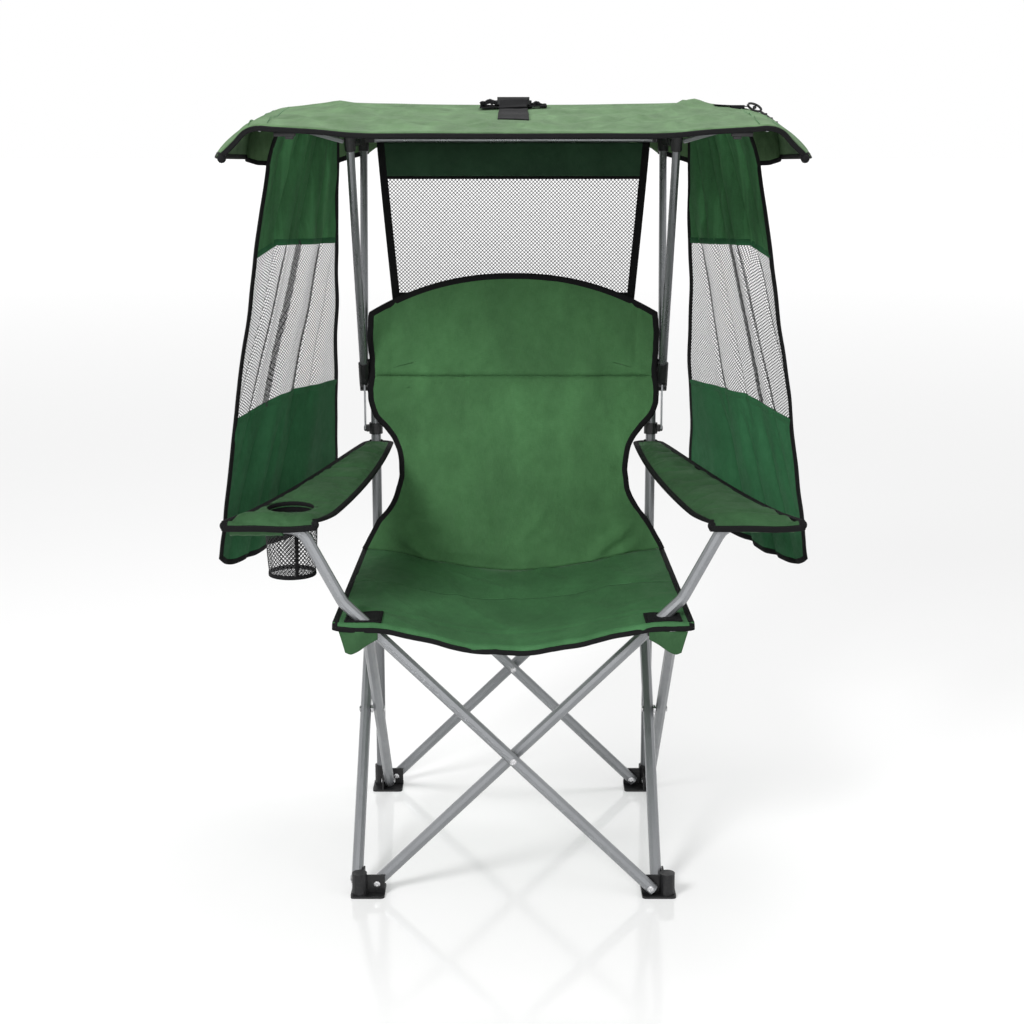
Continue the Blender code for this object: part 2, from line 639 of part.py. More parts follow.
def make_tubes():
    look = steel("grey_tube_paint")
    foot_outer = (PIN_HALF, -OUTER_PLANE, FOOT_PIN_HEIGHT)
    foot_inner = (-PIN_HALF, -INNER_PLANE, FOOT_PIN_HEIGHT)
    cross_outer = (0, -OUTER_PLANE, CROSS_HEIGHT)
    cross_inner = (0, -INNER_PLANE, CROSS_HEIGHT)
    outer = straight_tube(1, OUTER_PLANE)
    inner = straight_tube(-1, INNER_PLANE)
    place("tube_front_from_right", arm_tube(1, OUTER_PLANE), look, cross_outer)
    place("tube_front_from_left", arm_tube(-1, INNER_PLANE), look, foot_inner)
    place("tube_right_from_rear", outer, look, foot_outer, 1)
    place("tube_right_from_front", inner, look, cross_inner, 1)
    place("tube_rear_from_left", outer, look, foot_outer, 2)
    place("tube_rear_from_right", inner, look, cross_inner, 2)
    place("tube_left_from_front", outer, look, cross_outer, 3)
    place("tube_left_from_rear", inner, look, foot_inner, 3)


def make_crossing_rivets():
    look = rivet_steel("bright_rivet")
    start = (0, -OUTER_PLANE - TUBE_RADIUS, CROSS_HEIGHT)
    span = 2 * (TUBE_OFFSET + TUBE_RADIUS)
    spacer = (TUBE_DIAMETER + CLEARANCE, span - TUBE_DIAMETER - CLEARANCE)
    mesh = riveted(start, (0, 1, 0), span, spacer)
    for turns, side in enumerate(("front", "right", "rear", "left")):
        place(f"rivet_cross_{side}", mesh, look, (0, -SIDE_PLANE, CROSS_HEIGHT), turns)


# Feet: built for the front right corner, then turned


def corner_plates(inner_reach, low_z, high_z):
    """The two upright plates of a corner piece, one in each side's middle plane."""
    out = SIDE_PLANE + PLATE_THICKNESS / 2
    back = SIDE_PLANE - PLATE_THICKNESS / 2
    near = PIN_HALF - inner_reach
    front_plate = box((near, -out, low_z), (out, -back, high_z))
    side_plate = box((back, -out, low_z), (out, -near, high_z))
    return front_plate, side_plate


def foot(with_bore):
    near = PIN_HALF - FOOT_INNER_REACH
    far = SIDE_PLANE + FOOT_OUTER_REACH
    base = rounded_box((near, -far, 0), (far, -near, FOOT_BASE_HEIGHT), FOOT_CORNER_ROUND)
    plates = corner_plates(FOOT_INNER_REACH, FOOT_BASE_HEIGHT / 2, FOOT_PLATE_TOP)
    low = (POST_PLACE, -POST_PLACE, FOOT_BASE_HEIGHT / 2)
    boss = rod(low, (POST_PLACE, -POST_PLACE, FOOT_BOSS_TOP), FOOT_BOSS_RADIUS)
    across = PIN_HALF, SIDE_PLANE, FOOT_PIN_HEIGHT
    x, plane, z = across
    cut = [
        pin_hole((x, -plane - OVERRUN, z), (x, -plane + OVERRUN, z)),
        pin_hole((plane - OVERRUN, -x, z), (plane + OVERRUN, -x, z)),
    ]
    if with_bore:
        top = (POST_PLACE, -POST_PLACE, FOOT_BOSS_TOP + OVERRUN)
        cut.append(rod((POST_PLACE, -POST_PLACE, FOOT_BORE_BOTTOM), top, POST_RADIUS + CLEARANCE))
    return combined(base, [*plates, boss], cut)


def make_feet():
    look = black_moulding("black_foot")
    bored = foot(True)
    plain = foot(False)
    origin = (PIN_HALF, -SIDE_PLANE, FOOT_PIN_HEIGHT)
    place("foot_front_right", plain, look, origin, 0)
    place("foot_rear_right", bored, look, origin, 1)
    place("foot_rear_left", bored, look, origin, 2)
    place("foot_front_left", plain, look, origin, 3)


def make_foot_rivets():
    """Each foot is pinned to the outer tube of one side and the inner tube of the next."""
    look = rivet_steel("bright_rivet")
    back = PLATE_THICKNESS / 2
    front_start = (PIN_HALF, -OUTER_PLANE - TUBE_RADIUS, FOOT_PIN_HEIGHT)
    front = riveted(front_start, (0, 1, 0), SIDE_TO_FACE + back)
    side_start = (INNER_PLANE - TUBE_RADIUS, -PIN_HALF, FOOT_PIN_HEIGHT)
    side = riveted(side_start, (1, 0, 0), SIDE_TO_FACE + back)
    corners = ("front_right", "rear_right", "rear_left", "front_left")
    for turns, corner in enumerate(corners):
        place(f"rivet_foot_{corner}_a", front, look, (PIN_HALF, -SIDE_PLANE, FOOT_PIN_HEIGHT), turns)
        place(f"rivet_foot_{corner}_b", side, look, (SIDE_PLANE, -PIN_HALF, FOOT_PIN_HEIGHT), turns)


# Seat corner pieces: plates with fused pins, and a collar on the rear pair


def seat_corner(with_collar):
    front_plate, side_plate = corner_plates(BRACKET_INNER_REACH, BRACKET_BOTTOM, BRACKET_TOP)
    back = PLATE_THICKNESS / 2
    inner_face = INNER_PLANE - TUBE_RADIUS
    outer_face = OUTER_PLANE + TUBE_RADIUS
    front_start = (PIN_HALF, -SIDE_PLANE - back, SEAT_PIN_HEIGHT)
    side_start = (SIDE_PLANE - back, -PIN_HALF, SEAT_PIN_HEIGHT)
    front_pin = riveted(front_start, (0, 1, 0), SIDE_PLANE + back - inner_face)
    side_pin = riveted(side_start, (1, 0, 0), outer_face - SIDE_PLANE + back)
    added = [side_plate, front_pin, side_pin]
    cut = []
    if with_collar:
        low = (POST_PLACE, -POST_PLACE, COLLAR_BOTTOM)
        high = (POST_PLACE, -POST_PLACE, BRACKET_TOP)
        added.append(rod(low, high, COLLAR_RADIUS))
        below = (POST_PLACE, -POST_PLACE, COLLAR_BOTTOM - OVERRUN)
        above = (POST_PLACE, -POST_PLACE, BRACKET_TOP + OVERRUN)
        cut.append(rod(below, above, POST_RADIUS + COLLAR_PLAY))
    return combined(front_plate, added, cut)


def make_seat_corners():
    look = black_moulding("black_bracket")
    plain = seat_corner(False)
    collared = seat_corner(True)
    origin = (PIN_HALF, -SIDE_PLANE, SEAT_PIN_HEIGHT)
    place("bracket_front_right", plain, look, origin, 0)
    place("slider_rear_right", collared, look, origin, 1)
    place("slider_rear_left", collared, look, origin, 2)
    place("bracket_front_left", plain, look, origin, 3)


def make_posts():
    look = steel("grey_tube_paint")
    for name, side in (("left", -1), ("right", 1)):
        x = side * POST_PLACE
        foot_end = (x, POST_PLACE, FOOT_BORE_BOTTOM + CLEARANCE)
        mesh = pipe([foot_end, (x, POST_PLACE, POST_TOP)], POST_RADIUS, POST_WALL, (0, 1, 0), ROUND_SIDES)
        place(f"post_{name}", mesh, look, (x, POST_PLACE, FOOT_BORE_BOTTOM))


# Canopy frame


def mast_axis(top_y, top_z):
    """The unit vector from the knuckle pin to a mast's top, and the distance."""
    reach = Vector((0, top_y - KNUCKLE_Y, top_z - KNUCKLE_Z))
    return reach.normalized(), reach.length


MASTS = {"front": (FRONT_MAST_TOP_Y, FRONT_MAST_TOP_Z), "rear": (REAR_MAST_TOP_Y, REAR_MAST_TOP_Z)}


def make_canopy_clip(name, side):
    """A clip round the rear post with an ear and a pin for the canopy's link."""
    look = black_moulding("black_clip")
    x, y = side * POST_PLACE, POST_PLACE
    link_x = side * MAST_PLACE
    half = LINK_THICKNESS / 2
    ear_face = link_x - side * (half + CLEARANCE)
    low, high = CANOPY_PIVOT_Z - CLIP_HALF_HEIGHT, CANOPY_PIVOT_Z + CLIP_HALF_HEIGHT
    bore = POST_RADIUS + CLEARANCE
    clip = rod((x, y, low), (x, y, high), bore + CLIP_WALL)
    ear_low = (min(x, ear_face), y - EAR_HALF_SIZE, CANOPY_PIVOT_Z - EAR_HALF_SIZE)
    ear = box(ear_low, (max(x, ear_face), y + EAR_HALF_SIZE, CANOPY_PIVOT_Z + EAR_HALF_SIZE))
    pin_start = (ear_face - side * PLATE_THICKNESS, y, CANOPY_PIVOT_Z)
    pin = half_pin(pin_start, (side, 0, 0), PLATE_THICKNESS + CLEARANCE + LINK_THICKNESS)
    hole = rod((x, y, low - OVERRUN), (x, y, high + OVERRUN), bore)
    place(f"canopy_clip_{name}", combined(clip, [ear, pin], [hole]), look, (link_x, y, CANOPY_PIVOT_Z))


def half_pin(start, direction, span):
    """A pin that grows out of its carrier and ends in a crowned head."""
    crown = HEAD_RADIUS * HEAD_CROWN_SHARE
    profile = (
        (0, PIN_RADIUS),
        (span + CLEARANCE, PIN_RADIUS),
        (span + CLEARANCE, HEAD_RADIUS),
        (span + HEAD_THICKNESS / 2, HEAD_RADIUS),
        (span + HEAD_THICKNESS, crown),
    )
    return turned(start, direction, profile, PIN_SIDES)


def make_link(name, side):
    """A flat bar from the clip's pin up to the knuckle's pin, with round ends."""
    x = side * MAST_PLACE
    half = LINK_THICKNESS / 2
    low = (x - half, KNUCKLE_Y - LINK_WIDTH / 2, CANOPY_PIVOT_Z)
    bar = box(low, (x + half, KNUCKLE_Y + LINK_WIDTH / 2, KNUCKLE_Z))
    ends, holes = [], []
    for y, z in ((POST_PLACE, CANOPY_PIVOT_Z), (KNUCKLE_Y, KNUCKLE_Z)):
        ends.append(rod((x - half, y, z), (x + half, y, z), LINK_WIDTH / 2))
        holes.append(pin_hole((x - half - OVERRUN, y, z), (x + half + OVERRUN, y, z)))
    mesh = combined(bar, ends, holes)
    place(f"canopy_link_{name}", mesh, steel("grey_link_paint"), (x, POST_PLACE, CANOPY_PIVOT_Z))


def make_knuckle(name, side):
    """A moulded joint that straddles the link's top and holds both masts."""
    x = side * MAST_PLACE
    body = rod(
        (x - KNUCKLE_HALF_WIDTH, KNUCKLE_Y, KNUCKLE_Z),
        (x + KNUCKLE_HALF_WIDTH, KNUCKLE_Y, KNUCKLE_Z),
        KNUCKLE_ROUND,
    )
    pivot = Vector((x, KNUCKLE_Y, KNUCKLE_Z))
    sockets, bores = [], []
    for top_y, top_z in MASTS.values():
        along, _ = mast_axis(top_y, top_z)
        outer = MAST_RADIUS + CLEARANCE + MAST_SOCKET_WALL
        sockets.append(rod(pivot, pivot + along * MAST_SOCKET_END, outer))
        start = pivot + along * (MAST_START - CLEARANCE)
        bores.append(rod(start, pivot + along * (MAST_SOCKET_END + OVERRUN), MAST_RADIUS + CLEARANCE))
    slot_half = LINK_THICKNESS / 2 + CLEARANCE
    deep = LINK_WIDTH / 2 + CLEARANCE
    slot_side = Vector((slot_half, 0, 0))
    slot_round = rod(pivot - slot_side, pivot + slot_side, KNUCKLE_ROUND + OVERRUN)
    clear_up = box(
        (x - slot_half - OVERRUN, KNUCKLE_Y - TUBE_DIAMETER, KNUCKLE_Z + deep + CLEARANCE),
        (x + slot_half + OVERRUN, KNUCKLE_Y + TUBE_DIAMETER, KNUCKLE_Z + TUBE_DIAMETER),
    )
    slot = combined(slot_round, removed=[clear_up])
    pin = rod(
        (x - KNUCKLE_HALF_WIDTH + PLATE_THICKNESS / 2, KNUCKLE_Y, KNUCKLE_Z),
        (x + KNUCKLE_HALF_WIDTH - PLATE_THICKNESS / 2, KNUCKLE_Y, KNUCKLE_Z),
        PIN_RADIUS,
        PIN_SIDES,
    )
    hollowed = combined(body, sockets, [slot, *bores])
    mesh = combined(hollowed, [pin])
    place(f"canopy_knuckle_{name}", mesh, black_moulding("black_knuckle"), pivot)


def make_masts(name, side):
    look = steel("grey_tube_paint")
    pivot = Vector((side * MAST_PLACE, KNUCKLE_Y, KNUCKLE_Z))
    for which, (top_y, top_z) in MASTS.items():
        along, length = mast_axis(top_y, top_z)
        mesh = pipe([pivot + along * MAST_START, pivot + along * length], MAST_RADIUS, MAST_WALL, (1, 0, 0))
        place(f"mast_{which}_{name}", mesh, look, pivot)


def crossbar_y(side):
    """The two halves of the crossbar lie side by side where they lap."""
    return REAR_MAST_TOP_Y + side * (CROSSBAR_RADIUS + CLEARANCE)


def make_top_rail(name, side):
    """The bar that joins the tops of one side's masts, with their caps and the crossbar's lug."""
    x = side * MAST_PLACE
    pivot = Vector((x, KNUCKLE_Y, KNUCKLE_Z))
    front_end = FRONT_MAST_TOP_Y
    low = (x - RAIL_HALF_WIDTH, front_end, RAIL_BOTTOM)
    bar = box(low, (x + RAIL_HALF_WIDTH, REAR_MAST_TOP_Y, RAIL_TOP))
    added, bores = [], []
    for top_y, top_z in MASTS.values():
        along, length = mast_axis(top_y, top_z)
        cap_low = pivot + along * (length - RAIL_CAP_DEPTH)
        added.append(rod(cap_low, pivot + along * (length + RAIL_CAP_CROWN), CAP_RADIUS))
        below = pivot + along * (length - RAIL_CAP_DEPTH - OVERRUN)
        bores.append(rod(below, pivot + along * (length + CLEARANCE), MAST_RADIUS + CLEARANCE))
    stud = RAIL_HALF_WIDTH + RAIL_STUD_REACH
    middle_z = (RAIL_BOTTOM + RAIL_TOP) / 2
    for setback in RAIL_STUD_SETBACKS:
        y = FRONT_MAST_TOP_Y + setback
        added.append(rod((x - stud, y, middle_z), (x + stud, y, middle_z), RAIL_STUD_RADIUS, PIN_SIDES))
    added += crossbar_lug(side)
    mesh = combined(bar, added, bores)
    place(f"canopy_rail_{name}", mesh, black_moulding("black_rail"), pivot)


def crossbar_lug(side):
    """A small plate beside the crossbar's end, joined to the rail's cap, with its pin."""
    y = crossbar_y(side)
    near = y + side * (CROSSBAR_RADIUS + CLEARANCE)
    far = near + side * LUG_THICKNESS
    pivot_x = side * CROSSBAR_PIVOT_X
    inner = pivot_x - side * LUG_HALF_HEIGHT
    outer = side * MAST_PLACE
    low = (min(inner, outer), min(near, far), CROSSBAR_HEIGHT - LUG_HALF_HEIGHT)
    plate = box(low, (max(inner, outer), max(near, far), CROSSBAR_HEIGHT + LUG_HALF_HEIGHT))
    span = CROSSBAR_DIAMETER + LUG_THICKNESS / 2 + CLEARANCE
    head = CROSSBAR_RADIUS - CLEARANCE
    profile = (
        (0, CROSSBAR_PIN_RADIUS),
        (span + CLEARANCE, CROSSBAR_PIN_RADIUS),
        (span + CLEARANCE, head),
        (span + HEAD_THICKNESS, head),
    )
    start = (pivot_x, near + side * LUG_THICKNESS / 2, CROSSBAR_HEIGHT)
    return [plate, turned(start, (0, -side, 0), profile, PIN_SIDES)]


def make_crossbar_half(name, side):
    y = crossbar_y(side)
    pivot = Vector((side * CROSSBAR_PIVOT_X, y, CROSSBAR_HEIGHT))
    outer = (side * (CROSSBAR_PIVOT_X + CROSSBAR_END_REACH), y, CROSSBAR_HEIGHT)
    bar = rod(outer, (-side * CROSSBAR_LAP, y, CROSSBAR_HEIGHT), CROSSBAR_RADIUS, TUBE_SIDES)
    reach = Vector((0, CROSSBAR_RADIUS + OVERRUN, 0))
    hole = rod(pivot - reach, pivot + reach, CROSSBAR_PIN_RADIUS + PIN_PLAY, PIN_SIDES)
    place(f"crossbar_{name}", combined(bar, removed=[hole]), steel("grey_crossbar_paint"), pivot)


def canopy_share(y):
    return (y + CANOPY_HALF_DEPTH) / CANOPY_DEPTH


def canopy_middle_z(x, y):
    """The height of the canopy cloth's middle surface."""
    share = canopy_share(y)
    bend = blend(CANOPY_FRONT_BEND, CANOPY_REAR_BEND, share)
    half = blend(CANOPY_FRONT_HALF, CANOPY_REAR_HALF, share)
    middle = blend(CANOPY_FRONT_MIDDLE_Z, CANOPY_REAR_MIDDLE_Z, share)
    bend_z = blend(CANOPY_FRONT_BEND_Z, CANOPY_REAR_BEND_Z, share)
    tip_z = blend(CANOPY_FRONT_TIP_Z, CANOPY_REAR_TIP_Z, share)
    if abs(x) <= bend:
        return blend(middle, bend_z, (abs(x) / bend) ** 2)
    beyond = (abs(x) - bend) / (half - bend)
    return blend(bend_z, tip_z, beyond)


def make_wing_rod(name, side):
    """A rod under the canopy's side bend, with the arm that carries it from the top rail."""

    def rod_point(y):
        x = blend(CANOPY_FRONT_BEND, CANOPY_REAR_BEND, canopy_share(y)) - WING_ROD_INSET
        drop = CLOTH_THICKNESS / 2 + WING_ROD_RADIUS + SOFT_CLEARANCE
        return Vector((side * x, y, canopy_middle_z(x, y) - drop))

    front = rod_point(-CANOPY_HALF_DEPTH + WING_ROD_END_INSET)
    rear = rod_point(CANOPY_HALF_DEPTH - WING_ROD_END_INSET)
    straight = blend(front, rear, (WING_ARM_FRONT_Y - front.y) / (rear.y - front.y))
    long_rod = rod(front, rear, WING_ROD_RADIUS, TUBE_SIDES)
    reach = straight - Vector((side * MAST_PLACE, WING_ARM_REAR_Y, WING_ARM_HEIGHT))
    lean = math.sqrt(1 - reach.normalized().x ** 2)
    start_x = side * (MAST_PLACE + CAP_RADIUS + CLEARANCE + WING_ROD_RADIUS * lean * WING_ARM_SEAT_SHARE)
    arm = rod((start_x, WING_ARM_REAR_Y, WING_ARM_HEIGHT), straight, WING_ROD_RADIUS, TUBE_SIDES)
    mesh = combined(long_rod, [arm])
    place(f"wing_rod_{name}", mesh, steel("grey_wing_rod_paint"), (start_x, WING_ARM_REAR_Y, WING_ARM_HEIGHT))


def make_canopy_frame():
    for name, side in (("left", -1), ("right", 1)):
        make_canopy_clip(name, side)
        make_link(name, side)
        make_knuckle(name, side)
        make_masts(name, side)
        make_top_rail(name, side)
        make_crossbar_half(name, side)
        make_wing_rod(name, side)


# Canopy cloth


def canopy_point(u, v):
    """u runs across from wing tip to wing tip in shares of the bend's place, v from front to rear."""
    y = blend(-CANOPY_HALF_DEPTH, CANOPY_HALF_DEPTH, v)
    bend = blend(CANOPY_FRONT_BEND, CANOPY_REAR_BEND, v)
    half = blend(CANOPY_FRONT_HALF, CANOPY_REAR_HALF, v)
    beyond = (abs(u) - 1) / (CANOPY_ACROSS_SHARES[-1] - 1)
    x = bend * abs(u) if abs(u) <= 1 else blend(bend, half, beyond)
    return math.copysign(x, u), y, canopy_middle_z(x, y)


def make_canopy_top():
    right = CANOPY_ACROSS_SHARES
    across = [-share for share in right[:0:-1]] + list(right)
    mesh = sheet(canopy_point, across, np.linspace(0, 1, 7), CLOTH_THICKNESS)
    place("canopy_top", mesh, green_cloth("green_canopy_cloth"))


def curtain_point(side):
    """u runs from the inner edge out, v from the top down; folds deepen downwards."""

    def point(u, v):
        if v < CURTAIN_SHOULDER_SHARE:
            outer = np.array(CURTAIN_TOP_OUTER) + v / CURTAIN_SHOULDER_SHARE * (
                np.array(CURTAIN_SHOULDER_OUTER) - np.array(CURTAIN_TOP_OUTER)
            )
        else:
            down = (v - CURTAIN_SHOULDER_SHARE) / (1 - CURTAIN_SHOULDER_SHARE)
            outer = np.array(CURTAIN_SHOULDER_OUTER) + down * (
                np.array(CURTAIN_BOTTOM_OUTER) - np.array(CURTAIN_SHOULDER_OUTER)
            )
        inner = blend(np.array(CURTAIN_TOP_INNER), np.array(CURTAIN_BOTTOM_INNER), v)
        flat = blend(inner, outer, u)
        across = outer - inner
        square = np.array((across[1], -across[0])) / np.linalg.norm(across)
        swell = math.sin(math.pi * u) ** 0.5 * min(1.0, 0.25 + 1.5 * v)
        fold = CURTAIN_FOLD_DEPTH * swell * math.sin(2 * math.pi * CURTAIN_FOLDS * u) * 0.5
        x, y = flat - square * fold
        top = canopy_middle_z(x, y) - CLOTH_THICKNESS / 2 - 2 * SOFT_CLEARANCE
        bottom = blend(CURTAIN_INNER_BOTTOM_Z, CURTAIN_OUTER_BOTTOM_Z, u)
        return side * x, y, blend(top, bottom, v)

    return point


def make_curtains():
    rows = [0, CURTAIN_SHOULDER_SHARE, 0.25, 0.45, 0.65, 0.85, 1]
    for name, side in (("left", -1), ("right", 1)):
        mesh = sheet(curtain_point(side), np.linspace(0, 1, 29), rows, CLOTH_THICKNESS)
        place(f"curtain_{name}", mesh, green_cloth("green_curtain_cloth"))


def make_back_panel():
    """The panel behind the sitter, hung from the crossbar in the plane of the rear masts."""

    def point(u, v):
        top_z = CROSSBAR_HEIGHT - CROSSBAR_RADIUS - CLEARANCE
        x = u * blend(PANEL_TOP_HALF, PANEL_BOTTOM_HALF, v)
        return x, blend(REAR_MAST_TOP_Y, PANEL_BOTTOM_Y, v), blend(top_z, PANEL_BOTTOM_Z, v)

    mesh = sheet(point, np.linspace(-1, 1, 9), np.linspace(0, 1, 5), CLOTH_THICKNESS)
    place("canopy_back_panel", mesh, mesh_net("black_net_panel"), (0, REAR_MAST_TOP_Y, CROSSBAR_HEIGHT))


# Webbing and buckles on the canopy


def strip_on_canopy(start, end, width, lift):
    """A flat strip that follows the canopy between two places on its top."""
    first, last = Vector((*start, 0)), Vector((*end, 0))
    across = (last - first).normalized().cross(Vector((0, 0, 1)))
    height = CLOTH_THICKNESS / 2 + lift + WEBBING_THICKNESS / 2

    def point(u, v):
        place_on = blend(first, last, v) + across * (u * width / 2)
        return place_on.x, place_on.y, canopy_middle_z(place_on.x, place_on.y) + height

    return sheet(point, np.linspace(-1, 1, 5), np.linspace(0, 1, 9), WEBBING_THICKNESS)


def make_top_webbing():
    strap = strip_on_canopy((0, WEBBING_FRONT_Y), (0, WEBBING_REAR_Y), WEBBING_WIDTH, SOFT_CLEARANCE)
    middle = (PATCH_FRONT_Y + WEBBING_REAR_Y) / 2
    left, right = (-PATCH_WIDTH / 2, middle), (PATCH_WIDTH / 2, middle)
    patch = strip_on_canopy(left, right, PATCH_DEPTH, 2 * SOFT_CLEARANCE)
    place("canopy_webbing", combined(strap, [patch]), black_webbing("black_webbing"))


def make_top_buckle():
    """A side-release buckle lying on the webbing, with its two side slots and centre slot."""
    y0, y1 = BUCKLE_Y - BUCKLE_DEPTH / 2, BUCKLE_Y + BUCKLE_DEPTH / 2
    under = CLOTH_THICKNESS / 2 + 2 * SOFT_CLEARANCE + WEBBING_THICKNESS + CLEARANCE
    low = canopy_middle_z(0, y1) + under
    half = BUCKLE_WIDTH / 2
    body = rounded_box((-half, y0, low), (half, y1, low + BUCKLE_HEIGHT), BUCKLE_ROUND)
    slots = []
    for side in (-1, 1):
        near, far = sorted((side * (half - BUCKLE_SLOT_DEPTH), side * (half + OVERRUN)))
        slots.append(
            box(
                (near, BUCKLE_Y - BUCKLE_SLOT_DEPTH, low + BUCKLE_HEIGHT / 3),
                (far, BUCKLE_Y + BUCKLE_SLOT_DEPTH, low + BUCKLE_HEIGHT + OVERRUN),
            )
        )
    slots.append(
        box(
            (-half / 2, y0 + BUCKLE_SLOT_DEPTH, low + BUCKLE_HEIGHT / 2),
            (half / 2, y0 + 2 * BUCKLE_SLOT_DEPTH, low + BUCKLE_HEIGHT + OVERRUN),
        )
    )
    place("canopy_buckle", combined(body, removed=slots), black_moulding("black_buckle"), (0, BUCKLE_Y, low))


def make_side_strap():
    """The short strap and ladder lock on the right wing."""
    start = (SIDE_STRAP_INNER_X, SIDE_STRAP_Y)
    strap = strip_on_canopy(start, (SIDE_STRAP_OUTER_X, SIDE_STRAP_Y), SIDE_STRAP_WIDTH, CLEARANCE)
    middle_x = SIDE_STRAP_OUTER_X - LADDER_LENGTH / 2
    z = canopy_middle_z(middle_x, SIDE_STRAP_Y) + CLOTH_THICKNESS / 2 + WEBBING_THICKNESS
    lock_low = (SIDE_STRAP_OUTER_X - LADDER_LENGTH, SIDE_STRAP_Y - LADDER_WIDTH / 2, z)
    lock_high = (SIDE_STRAP_OUTER_X, SIDE_STRAP_Y + LADDER_WIDTH / 2, z + LADDER_HEIGHT)
    lock = rounded_box(lock_low, lock_high, BUCKLE_ROUND)
    mesh = combined(strap, [lock])
    place("canopy_side_strap", mesh, black_webbing("black_side_strap"), (SIDE_STRAP_INNER_X, SIDE_STRAP_Y, z))


# Seat and back


def seat_z(x, y):
    """The height of the seat cloth's middle surface, slung between its level side edges."""
    share = (y - SEAT_FRONT_Y) / (SEAT_REAR_MIDDLE_Y - SEAT_FRONT_Y)
    sag = blend(SEAT_FRONT_SAG, SEAT_REAR_SAG, min(max(share, 0), 1))
    near = min(abs(x) / SEAT_SAG_HALF_WIDTH, 1)
    return SEAT_LEVEL - sag * (1 - near**2) ** 1.5


def seat_front_edge(x):
    return SEAT_FRONT_Y + SEAT_FRONT_BOW * (1 - (x / SEAT_HALF_WIDTH) ** 2)


def seat_rear_edge(x):
    return blend(SEAT_REAR_MIDDLE_Y, SEAT_REAR_CORNER_Y, (x / SEAT_REAR_HALF_WIDTH) ** 2)


def arm_tube_cutter(side, plane, play):
    """A round cutter along a front tube where it passes up through the seat."""
    along = Vector((-side * ALONG_ACROSS, 0, ALONG_UP))
    pin = Vector((-side * PIN_HALF, -plane, SEAT_PIN_HEIGHT))
    return rod(pin, pin + along * (ARM_RISE_START + TUBE_DIAMETER), TUBE_RADIUS + play)


def make_seat():
    look = green_cloth("green_seat_cloth")
    across = np.linspace(-1, 1, 17)
    gap = CLEARANCE / 2

    def front_point(u, v):
        half = blend(SEAT_HALF_WIDTH, SEAT_REAR_HALF_WIDTH, v / 2)
        x = u * half
        y = blend(seat_front_edge(x), SEAT_SPLIT_Y - gap, v)
        return x, y, seat_z(x, y)

    def rear_point(u, v):
        half = blend(SEAT_HALF_WIDTH, SEAT_REAR_HALF_WIDTH, (1 + v) / 2)
        x = u * half
        y = blend(SEAT_SPLIT_Y + gap, seat_rear_edge(x), v)
        return x, y, seat_z(x, y)

    cutters = [arm_tube_cutter(1, OUTER_PLANE, SEAT_HOLE_PLAY)]
    cutters.append(arm_tube_cutter(-1, INNER_PLANE, SEAT_HOLE_PLAY))
    front = combined(sheet(front_point, across, np.linspace(0, 1, 7), CLOTH_THICKNESS), removed=cutters)
    rear = sheet(rear_point, across, np.linspace(0, 1, 6), CLOTH_THICKNESS)
    place("seat_front", front, look, (0, -PIN_HALF, SEAT_LEVEL))
    place("seat_rear", rear, look, (0, PIN_HALF, SEAT_LEVEL))


def make_back():
    """The back cloth rises from the seat's rear edge to an arch in front of the posts."""
    heights = [height for height, _ in BACK_OUTLINE_SHARES]
    widths = {height: width for height, width in BACK_OUTLINE_SHARES}
    seam_y_top = POST_PLACE - POST_RADIUS - CLEARANCE - CLOTH_THICKNESS / 2

    def point(u, v):
        x = u * widths[v] * BACK_HALF_WIDTH
        seam_y = seat_rear_edge(u * SEAT_REAR_HALF_WIDTH) - BACK_SEAM_INSET
        low = seat_z(x, seam_y) + CLOTH_THICKNESS / 2 + 2 * SOFT_CLEARANCE
        high = blend(BACK_ARCH_Z, BACK_CORNER_Z, abs(u) ** 2.2)
        hollow = BACK_HOLLOW * math.sin(math.pi * v) * (1 - u**2)
        return x, blend(seam_y, seam_y_top, v**0.8) + hollow, blend(low, high, v)

    mesh = sheet(point, np.linspace(-1, 1, 15), heights, CLOTH_THICKNESS)
    place("seat_back", mesh, green_cloth("green_back_cloth"), (-POST_PLACE, POST_PLACE, SEAT_LEVEL))


# Arm rests and cup holder


def arm_z(y):
    """The height of the arm pad's middle surface: level over its front tube, then rising to the post."""
    level_y = -INNER_PLANE + TUBE_DIAMETER
    share = (y - level_y) / (ARM_REAR_Y - level_y)
    return blend(ARM_FRONT_Z, ARM_REAR_Z, max(share, 0))


